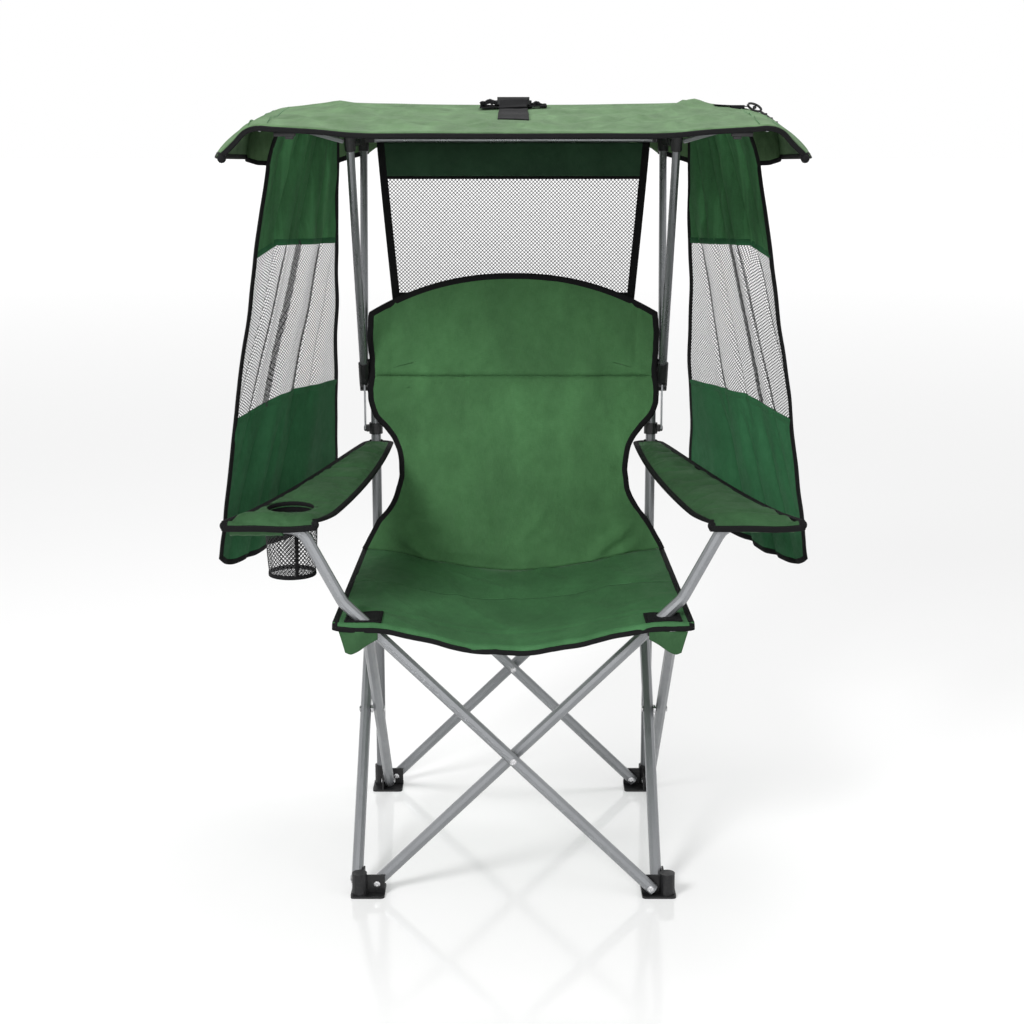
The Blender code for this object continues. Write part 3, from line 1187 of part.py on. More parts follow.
def arm_rest(side, plane):
    def point(u, v):
        y = blend(ARM_REAR_Y, ARM_FRONT_Y, v)
        inner = ARM_INNER_REAR + ARM_INNER_TAPER * v + ARM_INNER_BOW * v**2 + ARM_INNER_FLARE * v**24
        outer = ARM_OUTER_REAR + ARM_OUTER_TAPER * v + ARM_OUTER_FLARE * v**4
        return side * blend(inner, outer, u), y, arm_z(y)

    pad = sheet(point, np.linspace(0, 1, 6), ARM_ALONG_SHARES, ARM_THICKNESS)
    sleeve_radius = TUBE_RADIUS + CLEARANCE + SLEEVE_WALL
    inner_end = Vector((side * SLEEVE_INNER_X, -plane, ARM_TUBE_HEIGHT))
    outer_end = Vector((side * SLEEVE_OUTER_X, -plane, ARM_TUBE_HEIGHT))
    sleeve = rod(inner_end, outer_end, sleeve_radius)
    wall = Vector((side * SLEEVE_END_WALL, 0, 0))
    overrun = Vector((side * OVERRUN, 0, 0))
    bore = rod(inner_end - overrun, outer_end - wall, TUBE_RADIUS + CLEARANCE)
    post_low = (side * POST_PLACE, POST_PLACE, ARM_REAR_Z - ARM_THICKNESS - OVERRUN)
    post_high = (side * POST_PLACE, POST_PLACE, ARM_REAR_Z + ARM_THICKNESS + OVERRUN)
    cut = [bore, rod(post_low, post_high, POST_RADIUS + ARM_POST_PLAY)]
    if side < 0:
        z = arm_z(CUP_Y)
        low = (-CUP_X, CUP_Y, z - ARM_THICKNESS - OVERRUN)
        cut.append(rod(low, (-CUP_X, CUP_Y, z + ARM_THICKNESS + OVERRUN), CUP_HOLE_RADIUS))
    return combined(pad, [sleeve], cut)


def make_arm_rests():
    look = green_cloth("green_arm_cloth")
    place("arm_rest_left", arm_rest(-1, OUTER_PLANE), look, (-POST_PLACE, POST_PLACE, ARM_REAR_Z))
    place("arm_rest_right", arm_rest(1, INNER_PLANE), look, (POST_PLACE, POST_PLACE, ARM_REAR_Z))


def make_cup_holder():
    """A net cup under the left arm, open at the top, whose rim follows the arm's underside."""
    rings = []

    def ring(radius, height_at):
        points = []
        for side in range(ROUND_SIDES):
            angle = 2 * math.pi * side / ROUND_SIDES
            x, y = -CUP_X + radius * math.cos(angle), CUP_Y + radius * math.sin(angle)
            points.append(Vector((x, y, height_at(y))))
        rings.append(points)

    def rim(y):
        return arm_z(y) - ARM_THICKNESS / 2 - SOFT_CLEARANCE

    ring(CUP_BOTTOM_RADIUS, lambda y: CUP_BOTTOM_Z)
    ring(CUP_TOP_RADIUS, rim)
    ring(CUP_TOP_RADIUS - CUP_WALL, rim)
    ring(CUP_BOTTOM_RADIUS - CUP_WALL, lambda y: CUP_BOTTOM_Z + CUP_WALL)
    mesh = bridged(rings, False)
    place("cup_holder", mesh, mesh_net("black_cup_net"), (-CUP_X, CUP_Y, CUP_BOTTOM_Z))


def main():
    clear_scene()
    make_feet()
    make_foot_rivets()
    make_posts()
    make_tubes()
    make_crossing_rivets()
    make_seat_corners()
    make_canopy_frame()
    make_canopy_top()
    make_curtains()
    make_back_panel()
    make_top_webbing()
    make_top_buckle()
    make_side_strap()
    make_seat()
    make_back()
    make_arm_rests()
    make_cup_holder()


main()
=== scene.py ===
"""Canopy folding chair: cloth, nets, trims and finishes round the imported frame."""
import math

import bmesh
import bpy
import numpy as np
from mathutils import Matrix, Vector, noise


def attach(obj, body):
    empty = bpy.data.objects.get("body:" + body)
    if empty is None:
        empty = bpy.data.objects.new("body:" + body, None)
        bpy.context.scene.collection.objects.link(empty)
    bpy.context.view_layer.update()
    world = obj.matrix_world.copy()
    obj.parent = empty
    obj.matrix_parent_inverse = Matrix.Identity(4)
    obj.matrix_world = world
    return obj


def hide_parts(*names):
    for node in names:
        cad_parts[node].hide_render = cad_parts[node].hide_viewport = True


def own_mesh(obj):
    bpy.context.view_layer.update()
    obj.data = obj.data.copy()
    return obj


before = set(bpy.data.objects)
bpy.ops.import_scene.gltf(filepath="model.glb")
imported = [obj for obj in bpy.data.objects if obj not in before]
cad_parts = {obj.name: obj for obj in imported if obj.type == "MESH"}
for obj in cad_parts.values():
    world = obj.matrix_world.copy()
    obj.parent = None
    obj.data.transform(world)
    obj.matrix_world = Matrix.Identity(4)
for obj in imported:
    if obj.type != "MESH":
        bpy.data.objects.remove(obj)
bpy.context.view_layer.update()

CLOTH, TAPE = 0.0024, 0.0034  # full thicknesses
THIN = 0.0008  # half the thickness of a single layer of webbing
POST = 0.2535  # each rear post stands this far to its side and this far back
FRONT_PLANES = {-1: 0.2598, 1: 0.2372}  # how far forward the left and the right arm's tube lies
ARM_TUBE_Z = 0.624
SIDES = ((-1, "left"), (1, "right"))


# Curves, fields and grids


def lerp(start, end, share):
    return start + (end - start) * share


def ramp(x, start, run):
    """0 up to start and 1 from one run further on; a negative run counts backwards."""
    return np.clip((x - start) / run, 0, 1)


def ease(share):
    return np.sin(share * math.pi / 2)


def bump(x, centre, width):
    return np.exp(-(((x - centre) / width) ** 2))


def arrays(*values):
    return np.broadcast_arrays(*(np.asarray(value, float) for value in values))


def curve(knots, values, at):
    """A smooth curve through values at knots, read at each number of the array at."""
    k, p = np.asarray(knots, float), np.asarray(values, float)
    single = p.ndim == 1
    p = p[:, None] if single else p
    slope = np.gradient(p, k, axis=0)
    at = np.clip(np.asarray(at, float), k[0], k[-1])
    i = np.clip(np.searchsorted(k, at, side="right") - 1, 0, len(k) - 2)
    step = (k[i + 1] - k[i])[..., None]
    s = (at - k[i])[..., None] / step
    out = (
        p[i] * (1 + 2 * s) * (1 - s) ** 2
        + slope[i] * step * s * (1 - s) ** 2
        + p[i + 1] * s**2 * (3 - 2 * s)
        - slope[i + 1] * step * s**2 * (1 - s)
    )
    return out[..., 0] if single else out


def ripple(x, y, seed=0.0, octaves=3):
    """Smooth noise from about -1 to 1 over two coordinates."""
    x, y = arrays(x, y)
    found = [noise.fractal(Vector((a, b, seed)), 1.0, 2.0, octaves) for a, b in zip(x.ravel(), y.ravel())]
    return np.array(found).reshape(x.shape)


def crease(x, y, seed=0.0):
    """Sharp-topped soft folds, from 0 to 1."""
    return np.clip(1 - 3.2 * np.abs(ripple(x, y, seed, 2)), 0, 1) ** 1.5


def ridge(x, z, start, end, width, high):
    """A soft pinch in cloth along a line, which fades at its ends."""
    (ax, az), (bx, bz) = start, end
    long = math.hypot(bx - ax, bz - az)
    along = ((x - ax) * (bx - ax) + (z - az) * (bz - az)) / long**2
    off = ((x - ax) * (bz - az) - (z - az) * (bx - ax)) / long + 0.004 * np.sin(along * 5)
    return high * bump(off, 0, width) * np.clip(1.3 - 2.0 * np.abs(along - 0.5), 0, 1)


def points(x, y, z):
    return np.stack(np.broadcast_arrays(x, y, z), axis=-1).astype(float)


def unit(v):
    return v / np.maximum(np.linalg.norm(v, axis=-1, keepdims=True), 1e-12)


def grid(surface, us, vs):
    return surface(*np.meshgrid(us, vs, indexing="ij"))


def grid_normals(p):
    return unit(np.cross(np.gradient(p, axis=0), np.gradient(p, axis=1)))


def run_along(p):
    """How far each point of a line lies along it."""
    return np.concatenate([[0], np.cumsum(np.linalg.norm(np.diff(p, axis=0), axis=-1))])


def lengths(p, axis):
    """The distance along each grid line, measured from its middle."""
    step = np.linalg.norm(np.diff(p, axis=axis), axis=-1)
    run = np.concatenate([np.zeros_like(np.take(step, [0], axis)), np.cumsum(step, axis)], axis)
    return run - np.take(run, [p.shape[axis] // 2], axis)


# Meshes


def placed(name, data):
    """An object in the scene for a mesh, a light or a camera."""
    made = bpy.data.objects.new(name, data)
    bpy.context.scene.collection.objects.link(made)
    return made


def piece(name, verts, faces, look, uvs=None, flat=()):
    """A named object from points and faces; flat lists the faces that aren't shaded smooth."""
    mesh = bpy.data.meshes.new(name)
    mesh.from_pydata([tuple(v) for v in np.asarray(verts, float)], [], [tuple(map(int, f)) for f in faces])
    mesh.materials.append(look)
    smooth = np.ones(len(mesh.polygons), bool)
    smooth[list(flat)] = False
    mesh.polygons.foreach_set("use_smooth", smooth)
    if uvs is not None:
        corners = np.zeros(len(mesh.loops), np.int32)
        mesh.loops.foreach_get("vertex_index", corners)
        layer = mesh.uv_layers.new(name="flat_cloth")
        layer.data.foreach_set("uv", np.asarray(uvs, np.float32)[corners].ravel())
    mesh.update()
    return placed(name, mesh)


def outward(made):
    """Turns a closed piece's faces outwards."""
    work = bmesh.new()
    work.from_mesh(made.data)
    bmesh.ops.recalc_face_normals(work, faces=work.faces)
    work.to_mesh(made.data)
    work.free()
    return made


def joined(name, parts):
    """One object from several, with their materials kept."""
    bpy.ops.object.select_all(action="DESELECT")
    for part in parts:
        part.select_set(True)
    bpy.context.view_layer.objects.active = parts[0]
    bpy.ops.object.join()
    parts[0].name = parts[0].data.name = name
    return parts[0]


def finished(made):
    """Turns a piece's modifiers into its mesh."""
    bpy.context.view_layer.update()
    graph = bpy.context.evaluated_depsgraph_get()
    mesh = bpy.data.meshes.new_from_object(made.evaluated_get(graph))
    made.modifiers.clear()
    made.data = mesh
    return made


def cloth(name, p, look, up=CLOTH / 2, down=CLOTH / 2):
    """A thin closed cloth through a grid of points, with its flat size in metres as UVs."""
    n, m = p.shape[:2]
    out = grid_normals(p)
    up, down = (np.broadcast_to(t, (n, m))[..., None] for t in (up, down))
    verts = np.concatenate([(p + out * up).reshape(-1, 3), (p - out * down).reshape(-1, 3)])
    at = np.arange(n * m).reshape(n, m)
    top = np.stack([at[:-1, :-1], at[1:, :-1], at[1:, 1:], at[:-1, 1:]], -1).reshape(-1, 4)
    loop = np.concatenate([at[:-1, 0], at[-1, :-1], at[:0:-1, -1], at[0, :0:-1]])
    after = np.roll(loop, -1)
    rim = np.stack([after, loop, loop + n * m, after + n * m], -1)
    faces = np.concatenate([top, top[:, ::-1] + n * m, rim])
    uv = np.stack([lengths(p, 0), lengths(p, 1)], -1).reshape(-1, 2)
    return piece(name, verts, faces, look, np.concatenate([uv, uv]), range(2 * len(top), len(faces)))


def trace(surface, us, vs, into, step=1e-3):
    """A path on a surface with its tangents, the direction into the cloth and the normals."""
    us, vs = arrays(us, vs)
    p = surface(us, vs)
    along = unit(np.gradient(p, axis=0))
    inward = surface(us + into[0] * step, vs + into[1] * step) - p
    inward = unit(inward - (inward * along).sum(-1, keepdims=True) * along)
    return p, along, inward, np.cross(along, inward)


def side_paths(surface, vs, low=-1.0):
    """The paths along the two side edges of a surface, where u is low and where it is 1."""
    return [trace(surface, low, vs, (1, 0)), trace(surface, 1.0, vs, (-1, 0))]


def swept(p, across, out, outline, closed=False):
    """Points, faces and UVs of an outline carried along a path; closed joins its ends."""
    outline = np.asarray(outline, float)
    n, k = len(p), len(outline)
    verts = p[:, None] + across[:, None] * outline[:, :1] + out[:, None] * outline[:, 1:]
    at = np.arange(n * k).reshape(n, k)
    here, after = (at, np.roll(at, -1, axis=0)) if closed else (at[:-1], at[1:])
    faces = np.stack([here, np.roll(here, -1, axis=1), np.roll(after, -1, axis=1), after], -1).reshape(-1, 4)
    faces = faces.tolist()
    if not closed:
        faces += [at[0, ::-1].tolist(), at[-1].tolist()]
    uv = np.broadcast_arrays(run_along(p)[:, None], outline[:, 0])
    return verts.reshape(-1, 3), faces, np.stack(uv, -1).reshape(-1, 2)


def tape(path, look, inner=0.0085, outer=0.0012, thick=TAPE, closed=False):
    """A tape folded over an edge: rounded outside, with thin lips inside."""
    h = thick / 2
    half = [(-outer, 0.35 * h), (-outer + 0.35 * h, 0.85 * h), (0.2 * inner, h)]
    half += [(inner - 0.6 * h, 0.9 * h), (inner, 0.45 * h)]
    p, _, across, out = path
    verts, faces, uv = swept(p, across, out, half + [(a, -b) for a, b in half[::-1]], closed)
    return outward(piece("tape", verts, faces, look, uv))


STITCH_PITCH, STITCH_LONG, STITCH_WIDE, STITCH_PROUD = 0.0046, 0.0031, 0.0007, 0.0009
STITCH_RING = ((-0.5, 0), (0, 0.5), (0.5, 0), (0, -0.5))
STITCH_SHAPE = [(-0.5, 0, 0), *((end, b, c) for end in (-0.3, 0.3) for b, c in STITCH_RING), (0.5, 0, 0)]
STITCH_FACES = ((0, 2, 1), (0, 3, 2), (0, 4, 3), (0, 1, 4), (1, 2, 6, 5), (2, 3, 7, 6), (3, 4, 8, 7),
                (4, 1, 5, 8), (9, 5, 6), (9, 6, 7), (9, 7, 8), (9, 8, 5))


def stitches(path, look, inset=0.0, height=CLOTH):
    """A row of stitches that go through the cloth beside a path."""
    run = run_along(path[0])
    at = np.arange(STITCH_PITCH / 2, run[-1], STITCH_PITCH)
    p, *ways = [np.stack([np.interp(at, run, part[:, i]) for i in range(3)], -1) for part in path]
    p = p + ways[1] * inset
    along, across, out = (unit(way)[:, None] for way in ways)
    local = np.array(STITCH_SHAPE) * (STITCH_LONG, STITCH_WIDE, height + STITCH_PROUD)
    verts = p[:, None] + along * local[:, :1] + across * local[:, 1:2] + out * local[:, 2:]
    faces = [tuple(i + 10 * k for i in face) for k in range(len(p)) for face in STITCH_FACES]
    return piece("stitches", verts.reshape(-1, 3), faces, look)


def edging(path, wide, inset=0.0016, outer=0.0012, thick=TAPE):
    """Black tape over an edge, with its row of stitches a little inside the tape's own edge."""
    return [
        tape(path, BLACK_TAPE, wide, outer, thick),
        stitches(path, BLACK_THREAD, wide - inset, thick),
    ]


def net(name, surface, inside, count_a, count_b, half, strand, look, wrap=0):
    """A net of diamond cells over flat metres a, b; wrap closes it after that many half cells."""
    i, j = np.meshgrid(np.arange(*count_a), np.arange(*count_b), indexing="ij")
    keep = ((i + j) % 2 == 0) & inside(i * half, j * half)
    i, j = i[keep], j[keep]
    corner = np.array([(1, 0), (0, 1), (-1, 0), (0, -1)])
    keys = np.stack([i, j], -1)[:, None] + corner
    if wrap:
        keys[..., 0] %= wrap
    unique, index = np.unique(keys.reshape(-1, 2), axis=0, return_inverse=True)
    index = index.reshape(-1, 4)
    small = half - strand / math.sqrt(2)
    inner = (np.stack([i, j], -1)[:, None] * half + corner * small).reshape(-1, 2)

    def lifted(flat, lift):
        a, b = flat[:, 0], flat[:, 1]
        p = surface(a, b)
        e = 5e-4
        out = unit(np.cross(surface(a + e, b) - p, surface(a, b + e) - p))
        return p + out * lift

    verts = np.concatenate([lifted(unique * half, strand * 0.26), lifted(inner, -strand * 0.12)])
    own = len(unique) + np.arange(len(i) * 4).reshape(-1, 4)
    faces = np.stack([index, np.roll(index, -1, 1), np.roll(own, -1, 1), own], -1).reshape(-1, 4)
    return piece(name, verts, faces, look)


def bored(made, start, end, radius):
    """Cuts a round hole through a piece."""
    start, end = Vector(start), Vector(end)
    work = bmesh.new()
    deep = (end - start).length
    bmesh.ops.create_cone(work, cap_ends=True, segments=32, radius1=radius, radius2=radius, depth=deep)
    mesh = bpy.data.meshes.new("cutter")
    work.to_mesh(mesh)
    work.free()
    cutter = placed("cutter", mesh)
    cutter.location = (start + end) / 2
    cutter.rotation_mode = "QUATERNION"
    cutter.rotation_quaternion = (end - start).to_track_quat("Z", "Y")
    change = made.modifiers.new("hole", "BOOLEAN")
    change.operation, change.solver, change.object = "DIFFERENCE", "EXACT", cutter
    finished(made)
    bpy.data.objects.remove(cutter)
    return made


BOX_FACES = ((0, 1, 5, 4), (1, 2, 6, 5), (2, 3, 7, 6), (3, 0, 4, 7), (3, 2, 1, 0), (4, 5, 6, 7))


def block(low, high, look, width=0.0012):
    """A moulded box with rounded edges."""
    (x0, y0, z0), (x1, y1, z1) = low, high
    verts = [(x, y, z) for z in (z0, z1) for x, y in ((x0, y0), (x1, y0), (x1, y1), (x0, y1))]
    made = outward(piece("block", verts, BOX_FACES, look))
    change = made.modifiers.new("round", "BEVEL")
    change.width, change.segments, change.limit_method = width, 3, "ANGLE"
    change.angle_limit = math.radians(40)
    finished(made).data.shade_smooth()
    return made


def knob(centre, radii, look):
    """A small rounded lump of folded cloth."""
    work = bmesh.new()
    bmesh.ops.create_icosphere(work, subdivisions=3, radius=1.0)
    verts = np.array([v.co[:] for v in work.verts])
    faces = [[v.index for v in face.verts] for face in work.faces]
    work.free()
    verts = verts * radii * (1 + 0.08 * ripple(verts[:, 0] * 2, verts[:, 2] * 2, 4.0, 2))[:, None]
    return piece("knob", verts + np.asarray(centre, float).reshape(3), faces, look, verts[:, :2] * 0.01)


def round_rod(line, radius, look, sides=14):
    """A round bar along a line of points."""
    p = np.asarray(line, float)
    along = unit(np.gradient(p, axis=0))
    guide = np.where(np.abs(along[:, 2:]) > 0.9, np.array([[1.0, 0, 0]]), np.array([[0, 0, 1.0]]))
    across = unit(np.cross(along, guide))
    turns = np.arange(sides) * 2 * math.pi / sides
    outline = np.stack([np.cos(turns), np.sin(turns)], -1) * radius
    verts, faces, uv = swept(p, across, np.cross(across, along), outline)
    return outward(piece("rod", verts, faces, look, uv, flat=(len(faces) - 2, len(faces) - 1)))


PUFF_FRAMES, PUFF_CAP = 20, 0.006
PUFF_SETTINGS = {
    "quality": 6, "mass": 0.12, "tension_stiffness": 10.0, "compression_stiffness": 10.0,
    "shear_stiffness": 4.0, "bending_stiffness": 0.15, "use_pressure": True,
    "uniform_pressure_force": 4.0, "shrink_min": -0.035, "vertex_group_mass": "seams",
}


def inflated(made, pins):
    """Puffs up a padded piece with a cloth simulation that holds its seams."""
    start, found = np.zeros((2, len(made.data.vertices) * 3))
    made.data.vertices.foreach_get("co", start)
    made.vertex_groups.new(name="seams").add(np.flatnonzero(pins).tolist(), 1.0, "REPLACE")
    change = made.modifiers.new("puff", "CLOTH")
    for setting, value in PUFF_SETTINGS.items():
        setattr(change.settings, setting, value)
    change.settings.effector_weights.gravity = 0.0
    change.collision_settings.use_collision = False
    change.point_cache.frame_start, change.point_cache.frame_end = 1, PUFF_FRAMES
    for number in range(1, PUFF_FRAMES + 1):
        bpy.context.scene.frame_set(number)
    finished(made)
    made.vertex_groups.clear()
    bpy.context.scene.frame_set(1)
    made.data.vertices.foreach_get("co", found)
    move = (found - start).reshape(-1, 3)
    far = np.linalg.norm(move, axis=-1, keepdims=True)
    move = move * np.minimum(1, PUFF_CAP / np.maximum(far, 1e-9))
    made.data.vertices.foreach_set("co", (start.reshape(-1, 3) + move).ravel())
    made.data.update()
    print("SIMULATED", made.name, "moved up to", round(float(far.max()) * 1000, 2), "mm")


# Finishes


def shade(base, factor, lift=0.0):
    """A colour made lighter or darker, with its alpha."""
    return (*(min(1, c * factor + lift) for c in base[:3]), 1)


def add_node(tree, kind, inputs=None, **settings):
    """A shader node whose inputs are linked to sockets or set to values."""
    made = tree.nodes.new("ShaderNode" + kind)
    for setting, value in settings.items():
        setattr(made, setting, value)
    for socket, value in (inputs or {}).items():
        if isinstance(value, bpy.types.NodeSocket):
            tree.links.new(value, made.inputs[socket])
        else:
            made.inputs[socket].default_value = value
    return made


class Finish:
    """A material whose colour, roughness and bump come from procedural nodes."""

    def __init__(self, name, base, coordinates="Object", **sockets):
        self.material = bpy.data.materials.new(name)
        self.material.use_nodes = True
        self.tree = self.material.node_tree
        self.shader = self.tree.nodes["Principled BSDF"]
        for socket, value in sockets.items():
            self.shader.inputs[socket.replace("_", " ")].default_value = value
        self.where = self.node("TexCoord").outputs[coordinates]
        self.shown, self.normal = (*base[:3], 1), None

    def node(self, kind, inputs=None, **settings):
        return add_node(self.tree, kind, inputs, **settings)

    def shows(self, socket, value):
        self.tree.links.new(value, self.shader.inputs[socket])

    def noise(self, scale, detail=3.0, stretch=(1, 1, 1), rough=0.55):
        where = self.node("Mapping", {"Vector": self.where, "Scale": stretch}).outputs[0]
        inputs = {"Vector": where, "Scale": scale, "Detail": detail, "Roughness": rough}
        return self.node("TexNoise", inputs).outputs["Fac"]

    def math(self, operation, a, b=0.0):
        return self.node("Math", {0: a, 1: b}, operation=operation).outputs[0]

    def ranged(self, value, low, high, start=0.3, end=0.7):
        inputs = {"Value": value, "From Min": start, "From Max": end, "To Min": low, "To Max": high}
        return self.node("MapRange", inputs).outputs[0]

    def weave(self, pitch_a, pitch_b):
        """A plain weave's height from -1 to 1, with the given pitches in metres."""
        parts = self.node("SeparateXYZ", {0: self.where}).outputs
        turns = [self.math("MULTIPLY", *pair) for pair in zip(parts, (math.pi / pitch_a, math.pi / pitch_b))]
        return self.math("MULTIPLY", *(self.math("SINE", turn) for turn in turns))

    def over(self, field, low, high, colour, start=0.3, end=0.7):
        """Lays a colour over the present one, from low to high as the field goes from start to end."""
        share = self.ranged(field, low, high, start, end)
        self.shown = self.node("Mix", {0: share, 6: self.shown, 7: colour}, data_type="RGBA").outputs[2]
        self.shows("Base Color", self.shown)

    def rough(self, field, low, high):
        self.shows("Roughness", self.ranged(field, low, high))

    def relief(self, height, distance, strength=1.0):
        inputs = {"Height": height, "Distance": distance, "Strength": strength}
        if self.normal is not None:
            inputs["Normal"] = self.normal
        self.normal = self.node("Bump", inputs).outputs[0]
        self.shows("Normal", self.normal)


def green_cloth(name, base, worn=1.35, sheen=0.25, fold=0.0016, fold_streak_shading=((1, 0.4, 1), 14.0, 0.35)):
    """Woven polyester: fine plain weave, uneven dye, soft creases, a light sheen, and painted light and dark
    streaks along its folds.
    """
    look = Finish(name, shade(base, 0.80), "UV", Sheen_Weight=sheen, Sheen_Roughness=0.45,
                  Sheen_Tint=shade(base, 1.6, 0.12), Specular_IOR_Level=0.28)
    stretch, often, strong = fold_streak_shading
    mottle, painted_fold_shading = look.noise(55.0, 4.0), look.noise(often, 4.0, stretch, 0.6)
    weave = look.weave(0.0011, 0.0011)
    look.over(look.noise(7.0, 2.0), 0.0, 1.0, shade(base, worn))
    look.over(mottle, 0.0, 0.45, shade(base, 0.80))
    # Painted fold highlights and fold shade: light and dark streaks stretched along the folds.
    look.over(painted_fold_shading, 0.0, strong, shade(base, 1.9, 0.012), 0.52, 0.72)
    look.over(painted_fold_shading, strong, 0.0, shade(base, 0.45), 0.28, 0.48)
    look.over(look.noise(900.0, 2.0, (1, 0.12, 1)), 0.0, 0.30, shade(base, 1.5))
    look.over(look.noise(900.0, 2.0, (0.12, 1, 1)), 0.0, 0.25, shade(base, 0.6))
    look.over(weave, 0.0, 0.22, shade(base, 0.55), -1, 1)
    look.rough(mottle, 0.70, 0.86)
    look.relief(look.noise(6.0, 4.0, (1, 0.5, 1)), fold * 5)
    look.relief(look.noise(30.0, 4.0, (1, 0.6, 1)), fold * 1.6)
    look.relief(weave, 0.00022, 0.8)
    return look.material


def black_tape(name, base, rib, rise):
    """Woven tape or webbing: ribs across it and a faint herringbone."""
    look = Finish(name, base, "UV", Specular_IOR_Level=0.12)
    weave, grain = look.weave(rib, rib * 0.7), look.noise(420.0, 3.0)
    look.over(grain, 0.0, 1.0, shade(base, 2.2))
    look.over(weave, 0.0, 0.5, shade(base, 2.6), -1, 1)
    look.rough(grain, 0.62, 0.85)
    look.relief(weave, rise, 0.9)
    look.relief(grain, 0.0002, 0.5)
    return look.material


def fibre(name, base, grain, lighter, rough, rise, sheen=0.0):
    """Thread or net: a fine fuzz over one colour."""
    look = Finish(name, base, Specular_IOR_Level=0.4, Sheen_Weight=sheen)
    fuzz = look.noise(*grain)
    look.over(fuzz, 0, 1, shade(base, lighter))
    look.rough(fuzz, *rough)
    look.relief(fuzz, *rise)
    return look.material


def thread(name, base):
    return fibre(name, base, (1500.0, 1.0), 1.7, (0.5, 0.75), (0.0001, 0.6))


def netting(name, base):
    return fibre(name, base, (900.0, 3.0), 2.2, (0.55, 0.8), (0.0002, 0.7), 0.1)


def painted_steel(name, base, rough=0.34, metallic=0.55, scuff=0.25):
    """Grey sprayed steel tube: fine metallic fleck, slight waviness, rubbed and dusty places."""
    look = Finish(name, shade(base, 0.9), Metallic=metallic, Coat_Weight=0.2, Coat_Roughness=0.25)
    fleck, rubbed = look.noise(2400.0, 1.0), look.noise(60.0, 6.0, (1, 1, 0.25), 0.7)
    look.over(look.noise(9.0, 3.0), 0.0, 1.0, shade(base, 1.1))
    look.over(fleck, 0.0, 0.30, shade(base, 1.8))
    look.over(rubbed, 0.0, scuff, shade(base, 0.5), 0.58, 0.78)
    look.rough(rubbed, rough * 0.85, rough * 1.35)
    look.relief(fleck, 0.00006, 0.5)
    look.relief(look.noise(120.0, 2.0), 0.00012, 0.35)
    return look.material


def bright_metal(name):
    look = Finish(name, (0.62, 0.62, 0.63), Metallic=1.0)
    wear = look.noise(420.0, 4.0)
    look.over(wear, 0, 1, (0.36, 0.36, 0.37, 1))
    look.rough(wear, 0.2, 0.42)
    look.relief(look.noise(1500.0, 2.0, (1, 1, 0.1)), 0.00008, 0.5)
    return look.material


def black_moulding(name, base, rough):
    """Moulded nylon: fine grain, flow marks, dusty wear."""
    look = Finish(name, base, Specular_IOR_Level=0.35)
    flow = look.noise(70.0, 4.0, (1, 1, 0.4))
    look.over(flow, 0, 1, shade(base, 1.9))
    look.over(look.noise(210.0, 6.0, rough=0.7), 0.0, 0.08, (0.20, 0.20, 0.20, 1), 0.5, 0.75)
    look.rough(flow, rough * 0.8, rough * 1.3)
    look.relief(look.noise(1300.0, 2.0), 0.00015, 0.5)
    look.relief(flow, 0.0002, 0.25)
    return look.material


SEAT_GREEN = green_cloth("seat_cloth", (0.045, 0.150, 0.054), sheen=0.12)
# The back's green is the seat's cloth painted a little lighter: painted light for the way the back faces the
# lamps.
BACK_LIT_GREEN = green_cloth("back_cloth", (0.056, 0.160, 0.057), sheen=0.12)
ARM_GREEN = green_cloth("arm_cloth", (0.031, 0.094, 0.034), sheen=0.2)
# The canopy's green is painted lighter than the seat's: painted light from above on the canopy's top, which
# its underside shares.
CANOPY_LIT_GREEN = green_cloth("canopy_cloth", (0.088, 0.165, 0.074), sheen=0.3,
                           fold_streak_shading=((0.8, 0.30, 1), 26.0, 0.75))
# The curtain's top is its bottom's cloth painted lighter with stronger streaks: painted light on the upper
# curtain under the canopy.
CURTAIN_GREEN, CURTAIN_TOP_LIT_GREEN = (
    green_cloth(name, base, 1.3, 0.15, fold, fold_streak_shading)
    for name, base, fold, fold_streak_shading in (
        ("curtain_cloth", (0.020, 0.104, 0.040), 0.0022, ((1.4, 0.22, 1), 16.0, 0.3)),
        ("curtain_top_lit_cloth", (0.042, 0.150, 0.055), 0.0026, ((1.6, 0.14, 1), 15.0, 1.3)),
    )
)
# The panel's band is painted dark green: painted shade under the rear of the canopy.
BAND_SHADED_GREEN = green_cloth("panel_band_shaded_cloth", (0.018, 0.055, 0.026))
BLACK_TAPE = black_tape("binding_tape", (0.0035, 0.0035, 0.0038), 0.0016, 0.0003)
BLACK_WEBBING = black_tape("black_webbing", (0.0055, 0.0055, 0.0060), 0.0026, 0.0006)
GREEN_THREAD = thread("green_thread", (0.035, 0.095, 0.040))
BLACK_THREAD = thread("black_thread", (0.02, 0.02, 0.021))
PALE_THREAD = thread("canopy_thread", (0.07, 0.15, 0.07))
PANEL_NET = netting("panel_net", (0.018, 0.018, 0.019))
CURTAIN_NET = netting("curtain_net", (0.013, 0.013, 0.014))
CUP_NET = netting("cup_net", (0.010, 0.010, 0.011))
TUBE_GREY = painted_steel("grey_tube_paint", (0.215, 0.222, 0.232))
POST_GREY = painted_steel("grey_post_paint", (0.145, 0.150, 0.157))
MAST_GREY = painted_steel("grey_mast_paint", (0.165, 0.171, 0.178), 0.27, 0.75, 0.35)
RIVET_METAL = bright_metal("bright_rivet")
MOULDING = black_moulding("black_moulding", (0.0055, 0.0055, 0.006), 0.40)
BUCKLE_BLACK = black_moulding("buckle_moulding", (0.014, 0.014, 0.015), 0.55)


# Placing pieces


